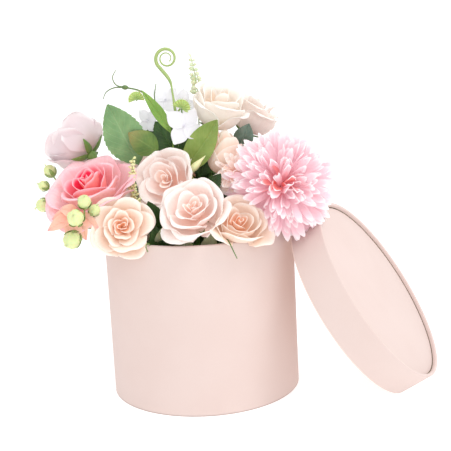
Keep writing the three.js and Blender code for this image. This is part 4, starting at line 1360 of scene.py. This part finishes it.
shape.tube(
    smooth_path([top, top + [-1, 0, 1.6], top + [-2.2, 0, 2.0]], 6), [0.4, 0.8, 1.0, 1.0, 0.7, 0.3], 8,
    (0, 1, 1),
)
make_object("sprig_buds", shape, SPRIG_LOOK, "insert", ["bud_sprig"])


# ---------------------------------------------------------------- fans, plume and loose twigs
FAN_PLEATS = 9
FAN_HALF = math.radians(104)


def fan(shape, foot, top, faces, reach):
    """A pleated round bud on its side: ribs spread from the foot and end in fine hairs."""
    up = unit(np.asarray(top, float) - foot)
    side = unit(np.cross(up, faces))
    front = np.cross(side, up)
    v, u = np.meshgrid(np.linspace(0.06, 1, 9), np.linspace(-1, 1, FAN_PLEATS * 4 + 1), indexing="ij")
    angle = u * FAN_HALF
    radius = reach * v * (1 + 0.04 * np.cos(u * FAN_PLEATS * math.pi))
    lift = 0.22 * reach * (1 - v**2) + 0.07 * reach * np.cos(u * FAN_PLEATS * math.pi) * v
    surface = foot + up * (np.cos(angle) * radius)[..., None] + side * (np.sin(angle) * radius)[..., None]
    surface = surface + front * lift[..., None] + up * reach * 0.3
    shape.sheet(surface, 0.4, np.stack([0 * u, v, 0.3 + 0 * v], axis=2))
    for i in range(FAN_PLEATS * 2 + 1):
        turn = FAN_HALF * (i / FAN_PLEATS - 1)
        ray = up * math.cos(turn) + side * math.sin(turn)
        start = foot + up * reach * 0.3 + ray * reach * 0.96
        shape.tube(
            [start, start + ray * reach * 0.12, start + ray * reach * 0.26 + front * 0.3],
            [0.22, 0.16, 0.08], 5, (0, 1, 0.8),
        )


shape = Shape()
fan(shape, np.array([-45.0, -5, 247.5]), [-46, -5, 260], [0.2, -1, 0.2], 6.4)
fan(shape, np.array([-9.5, -6, 239]), [-4.5, -7, 247], [0.1, -1, 0.2], 7.0)
shape.twig([[-42, -1, 256], [-43, -3, 252], [-45, -5, 248.5]], 8, 0.6, 0.6, 8, (0, 0.3, 0))
shape.twig([[-14, -2.4, 238], [-12, -4, 237.5], [-9.5, -6, 240]], 8, 0.8, 0.8, 8, (0, 0.3, 0))
FAN_LOOK = shoot_material("fan", (112, 146, 62), (168, 194, 102), (206, 220, 150))
make_object("fan_buds", shape, FAN_LOOK, "insert", [])

PLUME_LOOK = shoot_material("plume", (160, 176, 90), (226, 226, 164), (238, 236, 196))
shape = Shape()
plume_way = smooth_path(
    [[-34, -16, FOAM_TOP - 6], [-42, -24, 150], [-50.5, -32, 176], [-50, -31, 190], [-49.5, -30, 204]],
    40,
)
shape.tube(plume_way, np.linspace(0.9, 0.4, 40), 8, (0, 0.2, 0))
rng = np.random.default_rng(29)
for i in range(64):
    level = plume_way[24 + i * 15 // 63]
    turn = i * GOLDEN_TURN
    out = np.array([math.cos(turn), math.sin(turn) * 0.8, 0.55])
    reach = rng.uniform(2.4, 5.4) * (1.1 - 0.5 * i / 63)
    bead = smooth_path([level, level + out * reach * 0.6, level + out * reach], 7)
    shape.tube(
        bead, np.array([0.2, 0.3, 0.7, 1.15, 1.2, 0.8, 0.2]) * rng.uniform(0.8, 1.1), 8,
        (0, 1, rng.uniform(0, 0.6)),
    )
closed_bud = smooth_path([[2, -20, 176], [-3, -28, 190.5], [1.5, -28, 196], [9.5, -27, 203.5]], 26)
closed_radii = np.concatenate(
    [np.full(12, 0.9), [1.3, 2.0, 2.6, 3.0, 3.1, 3.0, 2.7, 2.3, 1.9, 1.5, 1.1, 0.8, 0.5, 0.2]]
)
shape.tube(
    closed_bud, closed_radii, 14,
    np.column_stack([np.zeros(26), np.linspace(0, 1.1, 26), np.linspace(0, 0.5, 26)]),
)
make_object("plume_beads", shape, PLUME_LOOK, "insert", [])

shape = Shape()
DROOPING = [
    [[20, -58, 128], [23, -72, 143.5], [25.5, -82, 142.6], [27.5, -84, 138], [30.5, -84.5, 131]],
    [[-34, -60, 128], [-38, -72, 143.5], [-39.5, -82, 143], [-38, -83.5, 139.5]],
    [[-22, 4, 214], [-29, 2, 240], [-30.5, 2, 250], [-28.5, 2, 261]],
]
for route in DROOPING:
    shape.twig(route, 22, 0.8, 0.35, 8, (0, 0.5, 0))
make_object("loose_twigs", shape, STEM, "insert", [])


# ---------------------------------------------------------------- floor, light and camera
floor_mesh = bpy.data.meshes.new("floor")
FLOOR_HALF = 60.0  # metres
FLOOR_TINT = (0.6, 0.6, 0.6, 1)
FLOOR_GLOW = 0.64
corners = [[x * FLOOR_HALF, y * FLOOR_HALF, 0] for x, y in ((-1, -1), (1, -1), (1, 1), (-1, 1))]
floor_mesh.from_pydata(corners, [], [[0, 1, 2, 3]])
floor = bpy.data.objects.new("floor", floor_mesh)
bpy.context.scene.collection.objects.link(floor)
floor_look = Graph("pale_floor", 0.9, Specular_IOR_Level=0.0)
floor_look.shader.inputs["Base Color"].default_value = FLOOR_TINT
floor_look.shader.inputs["Emission Color"].default_value = (1, 1, 1, 1)
floor_look.shader.inputs["Emission Strength"].default_value = FLOOR_GLOW
floor_mesh.materials.append(floor_look.material)

world = bpy.data.worlds.new("studio")
world.use_nodes = True
world.node_tree.nodes["Background"].inputs["Color"].default_value = (1, 1, 1, 1)
world.node_tree.nodes["Background"].inputs["Strength"].default_value = 1.0
bpy.context.scene.world = world


def area_light(name, direction, distance, size, power, target=(0.03, 0, 0.13)):
    light = bpy.data.lights.new(name, "AREA")
    light.shape = "DISK"
    light.size = size
    light.energy = power
    lamp = bpy.data.objects.new(name, light)
    bpy.context.scene.collection.objects.link(lamp)
    away = unit(direction)
    lamp.location = np.array(target) + away * distance
    place(lamp, away)


def place(thing, back, up=(0, 0, 1)):
    """Turns a lamp or camera so that its +Z looks along back."""
    back = unit(back)
    side = unit(np.cross(up, back))
    rotation = np.column_stack([side, np.cross(back, side), back])
    matrix = np.eye(4)
    matrix[:3, :3] = rotation
    matrix[:3, 3] = thing.location
    thing.matrix_world = Matrix(matrix.tolist())


area_light("key", (0.433, -0.25, 0.866), 1.6, 0.6, 7.3)
area_light("fill", (0.15, -1.0, 0.45), 2.2, 1.6, 6.0)

LENS = 84.85
SENSOR = 36
CAMERA_PLACE = (0.0228, -0.880, 0.3384)
PITCH = math.radians(12.8)
ROLL = math.radians(2.93)
forward = np.array([0, math.cos(PITCH), -math.sin(PITCH)])
upright = np.array([0, math.sin(PITCH), math.cos(PITCH)])
camera_up = math.sin(ROLL) * np.array([1, 0, 0]) + math.cos(ROLL) * upright
lens = bpy.data.cameras.new("camera")
lens.sensor_width = SENSOR
lens.lens = LENS
camera = bpy.data.objects.new("camera", lens)
bpy.context.scene.collection.objects.link(camera)
camera.location = CAMERA_PLACE
place(camera, -forward, camera_up)
bpy.context.scene.camera = camera
bpy.context.scene.view_settings.view_transform = "Standard"
